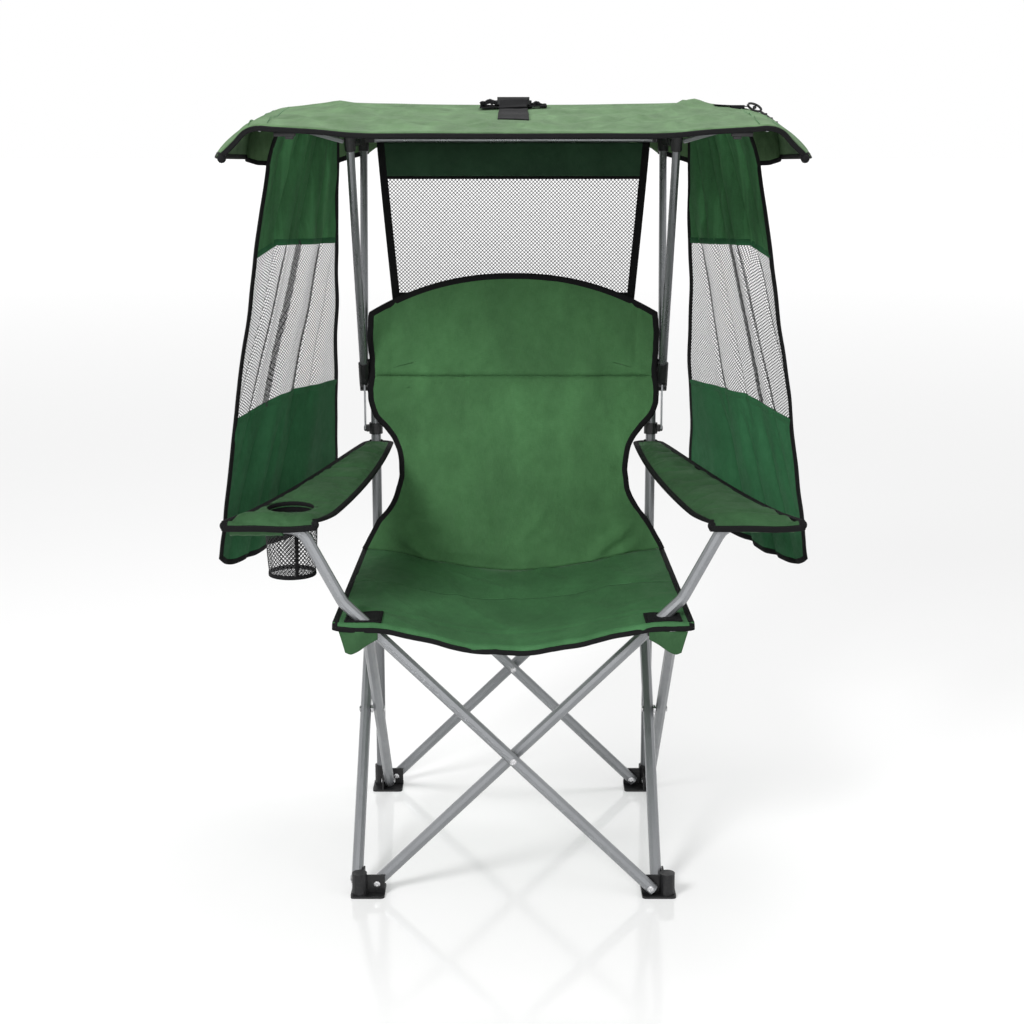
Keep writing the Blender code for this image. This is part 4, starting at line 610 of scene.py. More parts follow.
def soft(made, body, squash=None, stands_for=()):
    """squash, given as (axis, anchor, keep), only gives the piece its own mesh; nothing is squashed."""
    if squash:
        axis, anchor, keep = squash
        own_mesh(made)
        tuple(axis)
        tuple(anchor)
    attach(made, body)
    if stands_for:
        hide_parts(*stands_for)
    return made


def hard(made, body):
    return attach(made, body)


def squashed_across(x, z, keep):
    return (1, 0, 0), (x, 0, z), keep


CANOPY_SQUASH = squashed_across(-0.5, 1.25, 0.66)
PANEL_SQUASH = squashed_across(-0.2725, 1.1, 0.375)
SEAT_SQUASH = squashed_across(-POST, 0.45, 0.40)
BACK_SQUASH = squashed_across(-POST, 0.7, 0.33)


# Canopy


CANOPY_SHARES = (0, 0.24, 0.5, 0.62, 0.70, 0.76, 0.80, 0.845, 0.89, 0.935, 0.975, 1.0)
CANOPY_FRONT = (
    (0, 1.232), (0.12, 1.2325), (0.238, 1.2335), (0.2876, 1.238), (0.3285, 1.2405), (0.3547, 1.242),
    (0.3736, 1.243), (0.3926, 1.2365), (0.4086, 1.2215), (0.421, 1.2105), (0.43, 1.202), (0.435, 1.1965),
)
CANOPY_REAR = (
    (0, 1.277), (0.12, 1.2775), (0.25, 1.2795), (0.3375, 1.2805), (0.381, 1.276), (0.408, 1.2735),
    (0.421, 1.2715), (0.4386, 1.2655), (0.4605, 1.2545), (0.48, 1.24), (0.495, 1.215), (0.5015, 1.182),
)
HEM_PLACES = (0, 0.249, 0.259, 0.270, 0.309, 0.333, 0.40, 0.4738, 0.5015)
HEM_HEIGHTS = (1.2060, 1.2050, 1.1935, 1.1900, 1.1796, 1.1706, 1.1690, 1.1715, 1.1780)
CANOPY_DEEP, WALL_Y = 0.335, 0.3335
LIP, LIP_V, WALL_V = 0.0075, 0.05, 0.25
WING_FOLD = 0.80
FRONT_TAPE, WING_TAPE = 0.0066, 0.0080
REAR_SEAM_V, SLEEVE_SEAM, HEM_FROM = 0.985, 0.014, 0.515
TIP_PLACE, TIP_RADII = (0.992, -0.045), (0.0065, 0.0060, 0.0062)
T_CLIP = (  # the bar and the stem: x, half width, y from and to, z from and to
    (0.335, 0.016, (-0.3300, -0.3215), (1.2265, 1.2330)),
    (0.328, 0.006, (-0.3290, -0.3225), (1.2225, 1.2290)),
)
CANOPY_WRINKLES = (
    ((0.068, -0.330), (0.230, 0.186)), ((0.134, -0.310), (0.306, 0.210)), ((0.095, 0.090), (0.237, 0.330)),
    ((0.015, -0.300), (0.120, 0.100)), ((0.215, -0.330), (0.365, 0.020)), ((0.045, -0.020), (0.105, 0.290)),
    ((0.290, -0.320), (0.385, -0.060)), ((0.260, 0.080), (0.350, 0.300)),
)


def canopy_plain(u, v):
    """v runs from the turned-down front lip over the top, from 0 to 1, and down the rear wall."""
    u, v = arrays(u, v)
    side, near, top = np.sign(u), np.abs(u), np.clip(v, 0, 1)
    front, rear = (curve(CANOPY_SHARES, line, near) for line in (CANOPY_FRONT, CANOPY_REAR))
    at = lerp(front, rear, top[..., None])
    bow = 0.013 * np.sin(math.pi * top) ** 0.8 * ramp(near, 0.78, 0.2)
    x, z = (at[..., 0] + bow) * side, at[..., 1]
    fold_line = near - lerp(1.0, 0.87, ramp(top, 0.35, 0.65))
    x = x - side * 0.09 * np.clip(fold_line, 0, 0.13) * ramp(top, 0.35, 0.2)
    lip, wing = ramp(v, 0, -LIP_V), ramp(near, WING_FOLD, 0.12)
    z = z - LIP * ease(lip) * (1 - 0.35 * wing)
    x = x - side * 0.006 * lip * wing
    tip = ramp(near, 0.965, 0.035) ** 2 * ramp(v, 0.16, -0.21) ** 2
    x, z = x - side * 0.003 * tip, z + 0.002 * tip
    down = ramp(v, 1, WALL_V)
    z = lerp(z, np.minimum(np.interp(at[..., 0], HEM_PLACES, HEM_HEIGHTS), z), down)
    y = lerp(-CANOPY_DEEP, CANOPY_DEEP, top)
    y = np.where(v > 1, lerp(CANOPY_DEEP, WALL_Y, np.minimum(1, down * 6)), y)
    return points(x, y - 0.0035 * ease(lip) ** 0.7, z)


def canopy_relief(x, y):
    """Shallow folds that run across, a dip each side of the webbing and slanted wrinkles."""
    edge = ramp(np.abs(y), CANOPY_DEEP, -0.05) * ramp(np.abs(x), 0.46, -0.08)
    lift = 0.0052 * (crease(x * 1.5 + y * 1.2, y * 6 + x * 1.2, 3.1) - 0.2)
    lift = lift + 0.0026 * ripple(x * 7 + y * 3, y * 7, 7.7) + 0.0012 * ripple(x * 16 - y * 4, y * 14, 2.7, 2)
    lift = lift - 0.0032 * (bump(x, -0.085, 0.05) + bump(x, 0.10, 0.055)) * bump(y, -0.05, 0.26)
    for index, (start, end) in enumerate(CANOPY_WRINKLES):
        tall = 0.0048 + 0.0014 * math.sin(index * 2.1)
        lift = lift + ridge(x, y, start, end, 0.013, tall)
        end = (-end[0] * 0.94, end[1] - 0.05 * math.sin(index * 1.7))
        lift = lift + ridge(x, y, (-start[0], start[1]), end, 0.014, tall * 0.85)
    return lift * edge


def canopy(u, v):
    p, v = canopy_plain(u, v), np.asarray(v)
    p[..., 2] += np.where(v <= 1, canopy_relief(p[..., 0], p[..., 1]), 0)
    waves = (0.5 + 0.5 * np.sin(p[..., 0] * 60 + 1.0)) * (np.abs(p[..., 0]) > 0.2)
    p[..., 1] -= 0.004 * ramp(v, 1, WALL_V) * waves
    return p


def canopy_at(x, y):
    """The point on the canopy above each place x, y."""
    x, y = arrays(x, y)
    v = (y + CANOPY_DEEP) / (2 * CANOPY_DEEP)
    table = np.linspace(0, 1, 161)
    front, rear = (curve(CANOPY_SHARES, line, table)[:, 0] for line in (CANOPY_FRONT, CANOPY_REAR))
    near = [np.interp(abs(a), lerp(front, rear, b), table) for a, b in zip(x.ravel(), v.ravel())]
    return canopy(np.array(near).reshape(x.shape) * np.sign(x), v)


def make_canopy():
    right = np.concatenate([np.linspace(0, 0.7, 44), np.linspace(0.7, 1, 34)[1:]])
    us = np.concatenate([-right[:0:-1], right])
    lip, wall = np.linspace(-LIP_V, 0, 7)[:-1], np.linspace(1.03, 1 + WALL_V, 9)
    vs = np.concatenate([lip, np.linspace(0, 0.98, 60), [0.99, 1.0, 1.012], wall])
    made = cloth("canopy_cloth", grid(canopy, us, vs), CANOPY_LIT_GREEN)
    soft(made, "canopy_left", CANOPY_SQUASH, ["canopy_top"])
    parts = edging(trace(canopy, us, -LIP_V, (0, 1)), FRONT_TAPE)
    outer = us[np.abs(us) > HEM_FROM]
    paths = side_paths(canopy, np.linspace(-LIP_V, 1 + WALL_V, 60))
    paths += [trace(canopy, half, 1 + WALL_V, (0, -1)) for half in (outer[outer < 0], outer[outer > 0])]
    for path in paths:
        parts += edging(path, WING_TAPE)
    seams = [stitches(trace(canopy, us, REAR_SEAM_V, (0, -1)), PALE_THREAD)]
    for side, name in SIDES:
        parts.append(knob(canopy(side * TIP_PLACE[0], TIP_PLACE[1]), TIP_RADII, BLACK_TAPE))
        bend = trace(canopy, side * WING_FOLD * np.ones(70), np.linspace(0.02, 0.98, 70), (side, 0))
        seams += [stitches(bend, PALE_THREAD, inset) for inset in (SLEEVE_SEAM, -SLEEVE_SEAM)]
        clip = [
            block((side * x - half, ys[0], zs[0]), (side * x + half, ys[1], zs[1]), MOULDING)
            for x, half, ys, zs in T_CLIP
        ]
        hard(joined(f"canopy_t_clip_{name}", clip), f"canopy_{name}")
    trims = soft(joined("canopy_binding", parts), "canopy_left", CANOPY_SQUASH)
    seams = soft(joined("canopy_seams", seams), "canopy_left", CANOPY_SQUASH)


# Curtains


CURTAIN_TURNS = (0, 0.085, 1)
CURTAIN_OUTER = ((0.380, 0.405, 0.492), (0.0, -0.010, -0.100))  # x and y at the turns
CURTAIN_INNER = (np.array((0.306, 0.200)), np.array((0.330, 0.258)))  # x, y at the top and at the bottom
CURTAIN_LONG, CURTAIN_BOTTOM = 0.71, (0.5400, 0.5105)
CURTAIN_TAPE, UNDER_HEM = 0.0085, 0.006
CURTAIN_CELL, TUCK_CELL = (0.0029, 0.00118), (0.0019, 0.0014)  # half a diamond, and the strands' width
TUCK_PLACE, TUCK_HALF, TUCK_BEHIND = 0.478, 0.026, 0.0022
WINDOW_TOP, WINDOW_BOTTOM = (0.310, 0.272), (0.660, 0.630)
CURTAIN_FANS = {
    -1: ((0.30, 0.5, 0.030), (0.47, 0.8, 0.028), (0.62, 0.5, 0.024), (0.78, 0.9, 0.032), (0.98, 0.5, 0.03),
         (0.10, 0.6, 0.03)),
    1: ((0.26, 0.7, 0.030), (0.43, 0.5, 0.026), (0.57, 0.9, 0.030), (0.74, 0.6, 0.026), (0.93, 0.6, 0.03),
        (0.05, 0.6, 0.03)),
}
CURTAIN_PLEATS = {
    -1: ((0.76, 0.6), (0.62, 0.7), (0.17, 0.8), (0.03, 0.5)),
    1: ((0.80, 0.7), (0.60, 1.0), (0.33, 0.6), (0.12, 0.8)),
}


def canopy_under(x, y):
    """The height of the frame model's canopy cloth over each place, which the curtain's top follows."""
    share = (y + CANOPY_DEEP) / (2 * CANOPY_DEEP)
    bend, half = lerp(0.374, 0.420, share), lerp(0.432, 0.500, share)
    middle, bend_z = lerp(1.232, 1.277, share), lerp(1.243, 1.272, share)
    inner = lerp(middle, bend_z, (np.abs(x) / bend) ** 2)
    tip = lerp(1.200, 1.182, share)
    return np.where(np.abs(x) <= bend, inner, lerp(bend_z, tip, (np.abs(x) - bend) / (half - bend)))


def slanted(u, v):
    """The way across a curtain, measured square to its slanting folds."""
    return u - 0.69 * (v - 0.31)


def curtain(side):
    """u runs from the inner edge out, v from the top down."""

    def surface(u, v):
        u, v = arrays(u, v)
        started = np.clip(v * 6, 0, 1)
        outer = np.stack([np.interp(v, CURTAIN_TURNS, places) for places in CURTAIN_OUTER], -1)
        outer[..., 0] += 0.008 * np.sin(math.pi * ramp(v, 0.1, 0.9))
        outer[..., 0] += 0.0030 * ripple(v * 6.5, 3.0 * side, 8.0, 2) * started
        inner = lerp(*CURTAIN_INNER, v[..., None])
        inner[..., 0] += 0.0035 * ripple(v * 6, 2.0 * side, 5.0, 2) * started
        across = unit(outer - inner)
        square = np.stack([across[..., 1], -across[..., 0]], -1)
        swell = np.sin(math.pi * np.clip(u, 0, 1)) * np.minimum(1, 0.35 + 1.9 * v)
        run = slanted(u, v)
        waves = 0.45 * np.sin(2 * math.pi * (2.6 * run + 0.1 * side))
        waves = waves + 0.6 * ripple(run * 5 + 3 * side, v * 1.3, 2.0 + side, 2)
        window = ramp(v, 0.24, 0.08) * ramp(v, 0.74, -0.09)
        pleats = sum(deep * bump(run, at, 0.017) for at, deep in CURTAIN_PLEATS[side])
        pleats = pleats * window * np.clip(swell * 3, 0, 1)
        fan = sum(tall * bump(run, at, wide) for at, tall, wide in CURTAIN_FANS[side])
        fan = fan * np.clip(1 - 1.2 * window, 0, 1) * np.minimum(1, 4 * (1 - u)) * np.minimum(1, 5 * u)
        depth = 0.0100 * swell * waves + (0.0085 * pleats + 0.013 * fan)
        x, y = np.moveaxis(lerp(inner, outer, u[..., None]) - square * depth[..., None], -1, 0)
        z = lerp(canopy_under(x, y) - 0.0036, lerp(*CURTAIN_BOTTOM, u), v)
        corner = ramp(u, 0.84, 0.16) ** 2.5 * ramp(v, 0.88, 0.12)
        sag = 0.0035 * ripple(u * 4 + side, 0.0, 6.0, 2) * ramp(v, 0.85, 0.15)
        return points(side * x, y, z + 0.024 * corner + sag)

    return surface


def along_share(surface):
    """Finds the share of the way across that lies a along the folded cloth at the depth b, in metres."""
    table_u, rows = np.linspace(0, 1, 160), 72
    table = grid(surface, table_u, np.linspace(0, 1, rows + 1))
    arcs = np.cumsum(np.linalg.norm(np.diff(table, axis=0, prepend=table[:1]), axis=-1), axis=0)

    def share(a, b):
        a, b = np.broadcast_arrays(a, b)
        found = np.empty(a.shape)
        for depth in np.unique(b):
            at = min(max(depth / CURTAIN_LONG, 0), 0.9999) * rows
            row = lerp(arcs[:, int(at)], arcs[:, int(at) + 1], at - int(at))
            found[b == depth] = np.interp(a[b == depth], row, table_u, right=1.5)
        return found

    return share


def make_curtain(side, name):
    surface, body = curtain(side), f"canopy_{name}"
    squash = squashed_across(side * 0.27, 0.9, 0.55)
    us = np.linspace(0, 1, 90)

    def window(u, v):
        return surface(u, lerp(lerp(*WINDOW_TOP, u), lerp(*WINDOW_BOTTOM, u), v))

    def upper(u, v):
        return surface(u, v * lerp(*WINDOW_TOP, u))

    def lower(u, v):
        return surface(u, lerp(lerp(*WINDOW_BOTTOM, u), 1.0, v))

    top = cloth("curtain_top", grid(upper, us, np.linspace(0, 1, 30)), CURTAIN_TOP_LIT_GREEN)
    low = cloth("curtain_bottom", grid(lower, us, np.linspace(0, 1, 36)), CURTAIN_GREEN)
    both = joined(f"curtain_cloth_{name}", [top, low])
    soft(both, body, squash, [f"curtain_{name}"])
    share = along_share(surface)

    def mesh_point(a, b):
        return surface(np.clip(share(a, b), 0, 1), b / CURTAIN_LONG)

    def tuck_point(a, b):
        return mesh_point(a, b) - np.array((0, TUCK_BEHIND, 0)) * (1 + 0.5 * np.sin(a * 500)[..., None])

    def inside(a, b):
        v, u = b / CURTAIN_LONG, share(a, b)
        below = v > lerp(*WINDOW_TOP, u) - UNDER_HEM
        return (u > 0.008) & (u < 0.992) & below & (v < lerp(*WINDOW_BOTTOM, u) + UNDER_HEM)

    def in_tuck(a, b):
        return inside(a, b) & (np.abs(slanted(share(a, b), b / CURTAIN_LONG) - TUCK_PLACE) < TUCK_HALF)

    mesh = net("curtain_net", mesh_point, inside, (0, 160), (60, 180), *CURTAIN_CELL, CURTAIN_NET)
    tuck = net("curtain_tuck", tuck_point, in_tuck, (0, 240), (90, 270), *TUCK_CELL, CURTAIN_NET)
    mesh = soft(joined(f"curtain_net_{name}", [mesh, tuck]), body, squash)
    parts = []
    for path in [*side_paths(surface, np.linspace(0, 1, 80), 0.0), trace(surface, us, 1.0, (0, -1))]:
        parts += edging(path, CURTAIN_TAPE, 0.0015)
    binding = soft(joined(f"curtain_binding_{name}", parts), body, squash)
    hems = []
    for at, way in ((0.0, 1), (1.0, -1)):
        path = trace(window, np.linspace(0.006, 0.986, 90), at, (0, way))
        hems.append(tape(path, CURTAIN_GREEN, 0.003, 0.0075, 0.0034))
        hems.append(stitches(path, GREEN_THREAD, -0.005, 0.0036))
    hem = soft(joined(f"curtain_hems_{name}", hems), body, squash)


# Panel behind the sitter


PANEL_SHARES = (0, 0.06, 0.22, 1.0)
PANEL_YZ = ((0.3300, 1.2112), (0.3225, 1.196), (0.3105, 1.150), (0.2765, 0.930))
PANEL_TOP_HALF, PANEL_LOW_HALF, PANEL_LONG, BAND_END = 0.2485, 0.2200, 0.289, 0.222
PANEL_TAPE, PANEL_CELL, NET_INSIDE = 0.013, (0.0033, 0.00115), 0.003


def panel_width(v):
    return lerp(PANEL_TOP_HALF, PANEL_LOW_HALF, v)


def panel(u, v):
    yz = curve(PANEL_SHARES, PANEL_YZ, v)
    x = u * panel_width(v)
    slack = 0.0016 * ripple(np.asarray(x) * 6, yz[..., 1] * 9, 5.0, 2) * (1 - np.asarray(u) ** 2)
    return points(x, yz[..., 0] + slack, yz[..., 1])


def make_panel():
    us = np.linspace(-1, 1, 70)
    band = cloth("panel_band", grid(panel, us, np.linspace(0, BAND_END, 16)), BAND_SHADED_GREEN)
    soft(band, "canopy_left", PANEL_SQUASH, ["canopy_back_panel"])

    def mesh_point(a, b):
        v = np.clip(b / PANEL_LONG, 0, 1)
        return panel(a / panel_width(v), v)

    def inside(a, b):
        wide = np.abs(a) < panel_width(b / PANEL_LONG) - NET_INSIDE
        return wide & (b > PANEL_LONG * BAND_END - 0.002) & (b < PANEL_LONG - NET_INSIDE)

    mesh = net("panel_net", mesh_point, inside, (-76, 77), (16, 90), *PANEL_CELL, PANEL_NET)
    soft(mesh, "canopy_left", PANEL_SQUASH)
    parts = [tape(trace(panel, us, BAND_END, (0, 1)), BLACK_TAPE, 0.0035, 0.002)]
    for path in [*side_paths(panel, np.linspace(0, 1, 50)), trace(panel, us, 1.0, (0, -1))]:
        parts += edging(path, PANEL_TAPE, 0.0017)
    binding = soft(joined("panel_binding", parts), "canopy_left", PANEL_SQUASH)


# Seat


SEAT_LEVEL, SPLIT_Y = 0.4722, -0.020
SEAT_FRONT_Y, SEAT_REAR_Y = -0.277, 0.170
SEAT_FRONT_WIDE, SEAT_REAR_WIDE = 0.286, 0.279
SEAT_LIP_V, HEM_SHARE = 0.06, 0.27
SEAT_TAPE, SEAT_FRONT_TAPE, SEAT_FRONT_THICK = 0.0095, 0.0070, TAPE + 0.0012
SEAT_SAG, SAG_HALF = (0.041, 0.026), 0.225  # at the front and at the rear edge
PATCH_U, PATCH_V, PATCH_LIFT = (0.735, 0.935, 34), (0.006, 0.205, 26), 0.0026  # from, to, how many
FLAP_SHARES, FLAP_HEIGHTS = (0, 0.16, 0.34, 0.7, 1), (0.4240, 0.4215, 0.4250, 0.4370, 0.4470)
TUBE_BORE, TUBE_LOW, TUBE_HIGH = 0.0101, (0.2045, 0.438), (0.2865, 0.5182)  # x, z of two points on its line


def seat_height(x, y):
    share = ramp(y, SEAT_FRONT_Y, SEAT_REAR_Y - SEAT_FRONT_Y)
    near = np.minimum(np.abs(x) / SAG_HALF, 1)
    return SEAT_LEVEL - lerp(*SEAT_SAG, share) * (1 - near**2) ** 1.5


def seat_rear_edge(x):
    return lerp(SEAT_REAR_Y, 0.228, (x / SEAT_REAR_WIDE) ** 2)


def seat_half(front):
    """v runs from the front edge to the line across the middle, or on from there to the rear edge."""

    def surface(u, v):
        u, v = arrays(u, v)
        share = np.maximum(v, 0) / 2 if front else (1 + v) / 2
        x = u * lerp(SEAT_FRONT_WIDE, SEAT_REAR_WIDE, share)
        if front:
            edge = SEAT_FRONT_Y + 0.006 * (1 - (x / SEAT_FRONT_WIDE) ** 2)
            y = lerp(edge, SPLIT_Y - 0.0001, np.maximum(v, 0))
        else:
            y = lerp(SPLIT_Y + 0.0001, seat_rear_edge(x), v)
        inner = ramp(np.abs(u), 1, -0.12)
        pull = crease(x * 6 + y * 1.5, y * 5 - np.abs(x) * 4, 1.7)
        z = seat_height(x, y) + 0.0032 * inner * (pull + 0.7 * ripple(x * 9, y * 7, 4.4))
        if front:
            z = z - 0.0015 * inner * bump(v, HEM_SHARE, 0.018)
            z = z + 0.0016 * inner * bump(v, HEM_SHARE + 0.055, 0.026)
            lip = ramp(v, 0, -SEAT_LIP_V)
            z = z - 0.0125 * ease(lip) * (0.75 + 0.25 * ramp(np.abs(u), 1, -0.1))
            z = z + 0.0012 * lip * ripple(x * 16, 0.0, 3.3, 2)
            tip = ramp(np.abs(u), 0.955, 0.045) ** 2
            y = y - 0.0040 * ease(lip) ** 0.7 + 0.006 * tip * np.clip(1 - v * 8, 0, 1)
        return points(x, y, z)

    return surface


def seat_patch(surface, side, low, high):
    """A ribbed webbing patch on the seat's corner, which the arm's tube goes through."""
    us, vs = side * np.linspace(*PATCH_U), np.linspace(*PATCH_V)
    p = grid(surface, us, vs)
    p[..., 2] += 0.0021 + 0.0009 * ripple(p[..., 0] * 60, p[..., 1] * 60, 1.0, 2)
    parts = [bored(outward(cloth("seat_patch", p, BLACK_WEBBING, THIN, THIN)), low, high, TUBE_BORE)]
    rim = ((us, vs[0], (0, 1)), (us, vs[-1], (0, -1)), (us[0], vs, (side, 0)), (us[-1], vs, (-side, 0)))
    for line, *ways in (trace(surface, *place) for place in rim):
        parts.append(tape((line + (0, 0, PATCH_LIFT), *ways), BLACK_TAPE, 0.004, 0.0008, 0.0028))
    return joined(f"seat_patch_{side}", parts)


def seat_flap(side):
    """The loose green corner that hangs below the seat's binding."""
    u, v = np.meshgrid(np.linspace(0, 1, 26), np.linspace(0, 1, 16), indexing="ij")
    low = curve(FLAP_SHARES, FLAP_HEIGHTS, u)
    x = lerp(0.2765 - 0.0095 * v, 0.2150, u)
    y = -0.2800 + 0.0030 * v + 0.0016 * np.sin(u * 9 + v * 2)
    return outward(cloth("seat_flap", points(side * x, y, lerp(0.4600, low, v)), ARM_GREEN, 0.0007, 0.0007))


def make_seat_half(front):
    surface, name = seat_half(front), "front" if front else "rear"
    body = f"seat_{name}_half"
    us, rows, ends = np.linspace(-1, 1, 110), np.linspace(0, 1, 46), np.linspace(0, 1, 40)
    if front:
        rows = np.concatenate([np.linspace(-SEAT_LIP_V, 0, 7)[:-1], rows])
        ends = np.linspace(-SEAT_LIP_V, 1, 44)
    made = cloth(f"seat_cloth_{name}", grid(surface, us, rows), SEAT_GREEN)
    parts, patches, flaps = [], [], []
    for path in side_paths(surface, ends):
        parts += edging(path, SEAT_TAPE)
    if front:
        parts += edging(trace(surface, us, -SEAT_LIP_V, (0, 1)), SEAT_FRONT_TAPE, thick=SEAT_FRONT_THICK)
        for side, plane in FRONT_PLANES.items():
            low, high = ((side * x, -plane, z) for x, z in (TUBE_LOW, TUBE_HIGH))
            bored(made, low, high, TUBE_BORE)
            patches.append(seat_patch(surface, side, low, high))
            flaps.append(seat_flap(side))
    soft(made, body, SEAT_SQUASH, [f"seat_{name}"])
    trims = [soft(joined(f"seat_binding_{name}", parts), body, SEAT_SQUASH)]
    if front:
        hem = trace(surface, np.linspace(-0.86, 0.86, 150), HEM_SHARE, (0, 1))
        flaps += [stitches(hem, PALE_THREAD), stitches(hem, GREEN_THREAD, 0.007)]
        trims.append(soft(joined("seat_flaps", flaps), body, SEAT_SQUASH))
        trims.append(soft(joined("seat_patches", patches), body, SEAT_SQUASH))


# Back


BACK_SEAM_Z, BACK_TOP_Y, BACK_TOP_Z, BACK_CORNER_Z = 0.793, 0.2427, 0.980, 0.910
BACK_WIDE, BACK_TAPE, SIDE_SEAM_U = 0.264, 0.0100, 0.845
BACK_KNOTS = (0, 0.077, 0.125, 0.17, 0.222, 0.27, 0.32, 0.42, 0.468, 0.516, 0.56, 0.615, 0.76, 0.94, 1.0)
BACK_WIDTHS = (
    1.058, 0.989, 0.943, 0.881, 0.833, 0.807, 0.795, 0.805, 0.835, 0.894, 0.958, 0.994, 0.990, 0.998, 0.988,
)
BACK_CREASES = (
    ((-0.222, 0.510), (-0.134, 0.456), 0.010, 0.0095),
    ((-0.078, 0.613), (-0.029, 0.474), 0.013, 0.0050),
    ((0.070, 0.590), (0.012, 0.486), 0.013, 0.0050),
    ((0.136, 0.456), (0.215, 0.528), 0.010, 0.0095),
    ((0.256, 0.512), (0.178, 0.462), 0.010, 0.0055),
    ((-0.150, 0.640), (-0.060, 0.690), 0.016, 0.0026),
    ((0.200, 0.600), (0.130, 0.680), 0.016, 0.0024),
    ((-0.205, 0.905), (-0.175, 0.835), 0.008, 0.0026),
    ((0.205, 0.900), (0.190, 0.830), 0.008, 0.0026),
)


def back_start(u):
    """How far back the cloth of the back begins, just before the seat's rear edge."""
    return seat_rear_edge(u * SEAT_REAR_WIDE) - 0.005


def back_low(x, u):
    return seat_height(x, back_start(u)) + 0.0027


def back_high(u):
    return lerp(BACK_TOP_Z, BACK_CORNER_Z, np.abs(u) ** 2.2)


def back_seam_share(u, x):
    low = back_low(x, u)
    return (BACK_SEAM_Z - low) / (back_high(u) - low)


def back(u, v):
    u, v = arrays(u, v)
    x = u * curve(BACK_KNOTS, BACK_WIDTHS, v) * BACK_WIDE
    x = x + 0.0016 * u**5 * ripple(v * 14, np.sign(u) * 2, 12.0, 2)
    z = lerp(back_low(x, u), back_high(u), v)
    ending, near, above = ramp(v, 1, -0.06), np.abs(u), v - back_seam_share(u, x)
    inner, width = ramp(near, 0.97, -0.15) * ending, ramp(near, 0.965, -0.03) * ending
    relief = 0.0042 * crease(x * 3.2 + v * 1.2, v * 3.0 + x * x * 6, 6.3) * (1 - 0.5 * v)
    fans = crease((np.abs(x) - 0.13) * 7 + v * 1.5, v * 3 - np.abs(x) * 3, 14.0) * bump(v, 0.12, 0.16)
    relief = relief + 0.0045 * fans + 0.0016 * ripple(x * 8, v * 5, 9.0)
    relief = relief + sum(ridge(x, z, *place) for place in BACK_CREASES)
    relief = relief + 0.0032 * ripple(x * 26, v * 1.2 + 4, 11.0, 2) * bump(above, 0.0, 0.07)
    seams = 0.0044 * bump(above, 0.003, 0.0060) - 0.0026 * bump(above, 0.024, 0.016)
    seams = seams + 0.0030 * (above > 0) * bump(near, SIDE_SEAM_U, 0.012)
    hollow = 0.012 * np.sin(math.pi * v) * (1 - u**2) - inner * relief + width * seams
    return points(x, lerp(back_start(u), BACK_TOP_Y, np.clip(v, 0, 1) ** 0.8) + hollow, z)


def make_back():
    us = np.linspace(-1, 1, 110)
    rows = np.sort(np.concatenate([np.linspace(0, 1, 120), np.linspace(0.631, 0.749, 47)]))
    made = cloth("back_cloth", grid(back, us, rows), BACK_LIT_GREEN)
    soft(made, "rear_left", BACK_SQUASH, ["seat_back"])
    parts = []
    for path in [*side_paths(back, np.linspace(0, 1, 120)), trace(back, us, 1.0, (0, -1))]:
        parts += edging(path, BACK_TAPE)
    binding = soft(joined("back_binding", parts), "rear_left", BACK_SQUASH)
    seam_u = np.linspace(-0.955, 0.955, 100)
    seam = trace(back, seam_u, back_seam_share(seam_u, seam_u * 0.262), (0, 1))
    rows = [stitches(seam, GREEN_THREAD, inset) for inset in (0.0, 0.006)]
    for side, _ in SIDES:
        upright = trace(back, side * SIDE_SEAM_U, np.linspace(0.70, 0.975, 50), (side, 0))
        rows += [stitches(upright, GREEN_THREAD, inset) for inset in (0.0, 0.005)]
    seams = soft(joined("back_seams", rows), "rear_left", BACK_SQUASH)


# Arm rests and cup


ARM_REAR, ARM_FRONT, ARM_END_V = 0.268, -0.2745, 1.03
ARM_FRONT_TUBE_Y = -0.2615
ARM_TAPE, ARM_OUTER_TAPE, ARM_TAPE_OVER, ARM_TAPE_THICK = 0.0085, 0.0095, 0.0016, 0.0058
ARM_CORNER_V, ARM_CORNER_RADII = 1.016, (0.0040, 0.0036, 0.0062)
POST_HOLE, CUP_HOLE = 0.0097, 0.038
SLEEVE_INSIDE, SLEEVE_OUTSIDE = 0.0100, 0.0127
CUP_X, CUP_Y, CUP_BOTTOM = -0.357, -0.199, 0.532
CUP_RADIUS, CUP_DEEP, CUP_AROUND = 0.0405, 0.0925, 76
CUP_FLOOR_RADIUS, CUP_FLOOR_CELL, CUP_STRAND = 0.0365, 0.0033, 0.0013
TURN = np.linspace(0, 2 * math.pi, 65)[:-1]


def arm_height(y):
    return lerp(0.6371, 0.668, np.clip((y + 0.2182) / (ARM_REAR + 0.2182), 0, None))


def arm(side):
    """u runs from the inner edge out, v from the rear end to the front."""

    def surface(u, v):
        u, v = arrays(u, v)
        flat = np.clip(v, 0, 1)
        inner = 0.2235 + 0.010 * flat + 0.062 * flat**2 + 0.012 * flat**24
        outer = 0.276 + 0.145 * flat + 0.034 * flat**4
        y = lerp(ARM_REAR, ARM_FRONT, flat) - 0.011 * np.abs(2 * u - 1) ** 3 * (1 - flat) ** 14
        z = arm_height(y) - flat**30 * (0.0022 * np.sin(math.pi * u) + 0.0009 * np.sin(9 * u + side))
        curl = ramp(v, 1, ARM_END_V - 1) * math.pi / 2
        z = z - 0.0125 * (1 - np.cos(curl)) ** 0.8
        return points(side * lerp(inner, outer, u), y - 0.0045 * np.sin(curl), z)

    return surface


def arm_squash(side):
    """An arm's squash: an axis back and inwards, an anchor at its post and the share kept."""
    return (-0.37 * side, 0.93, 0), (side * POST, POST, 0.65), 0.56


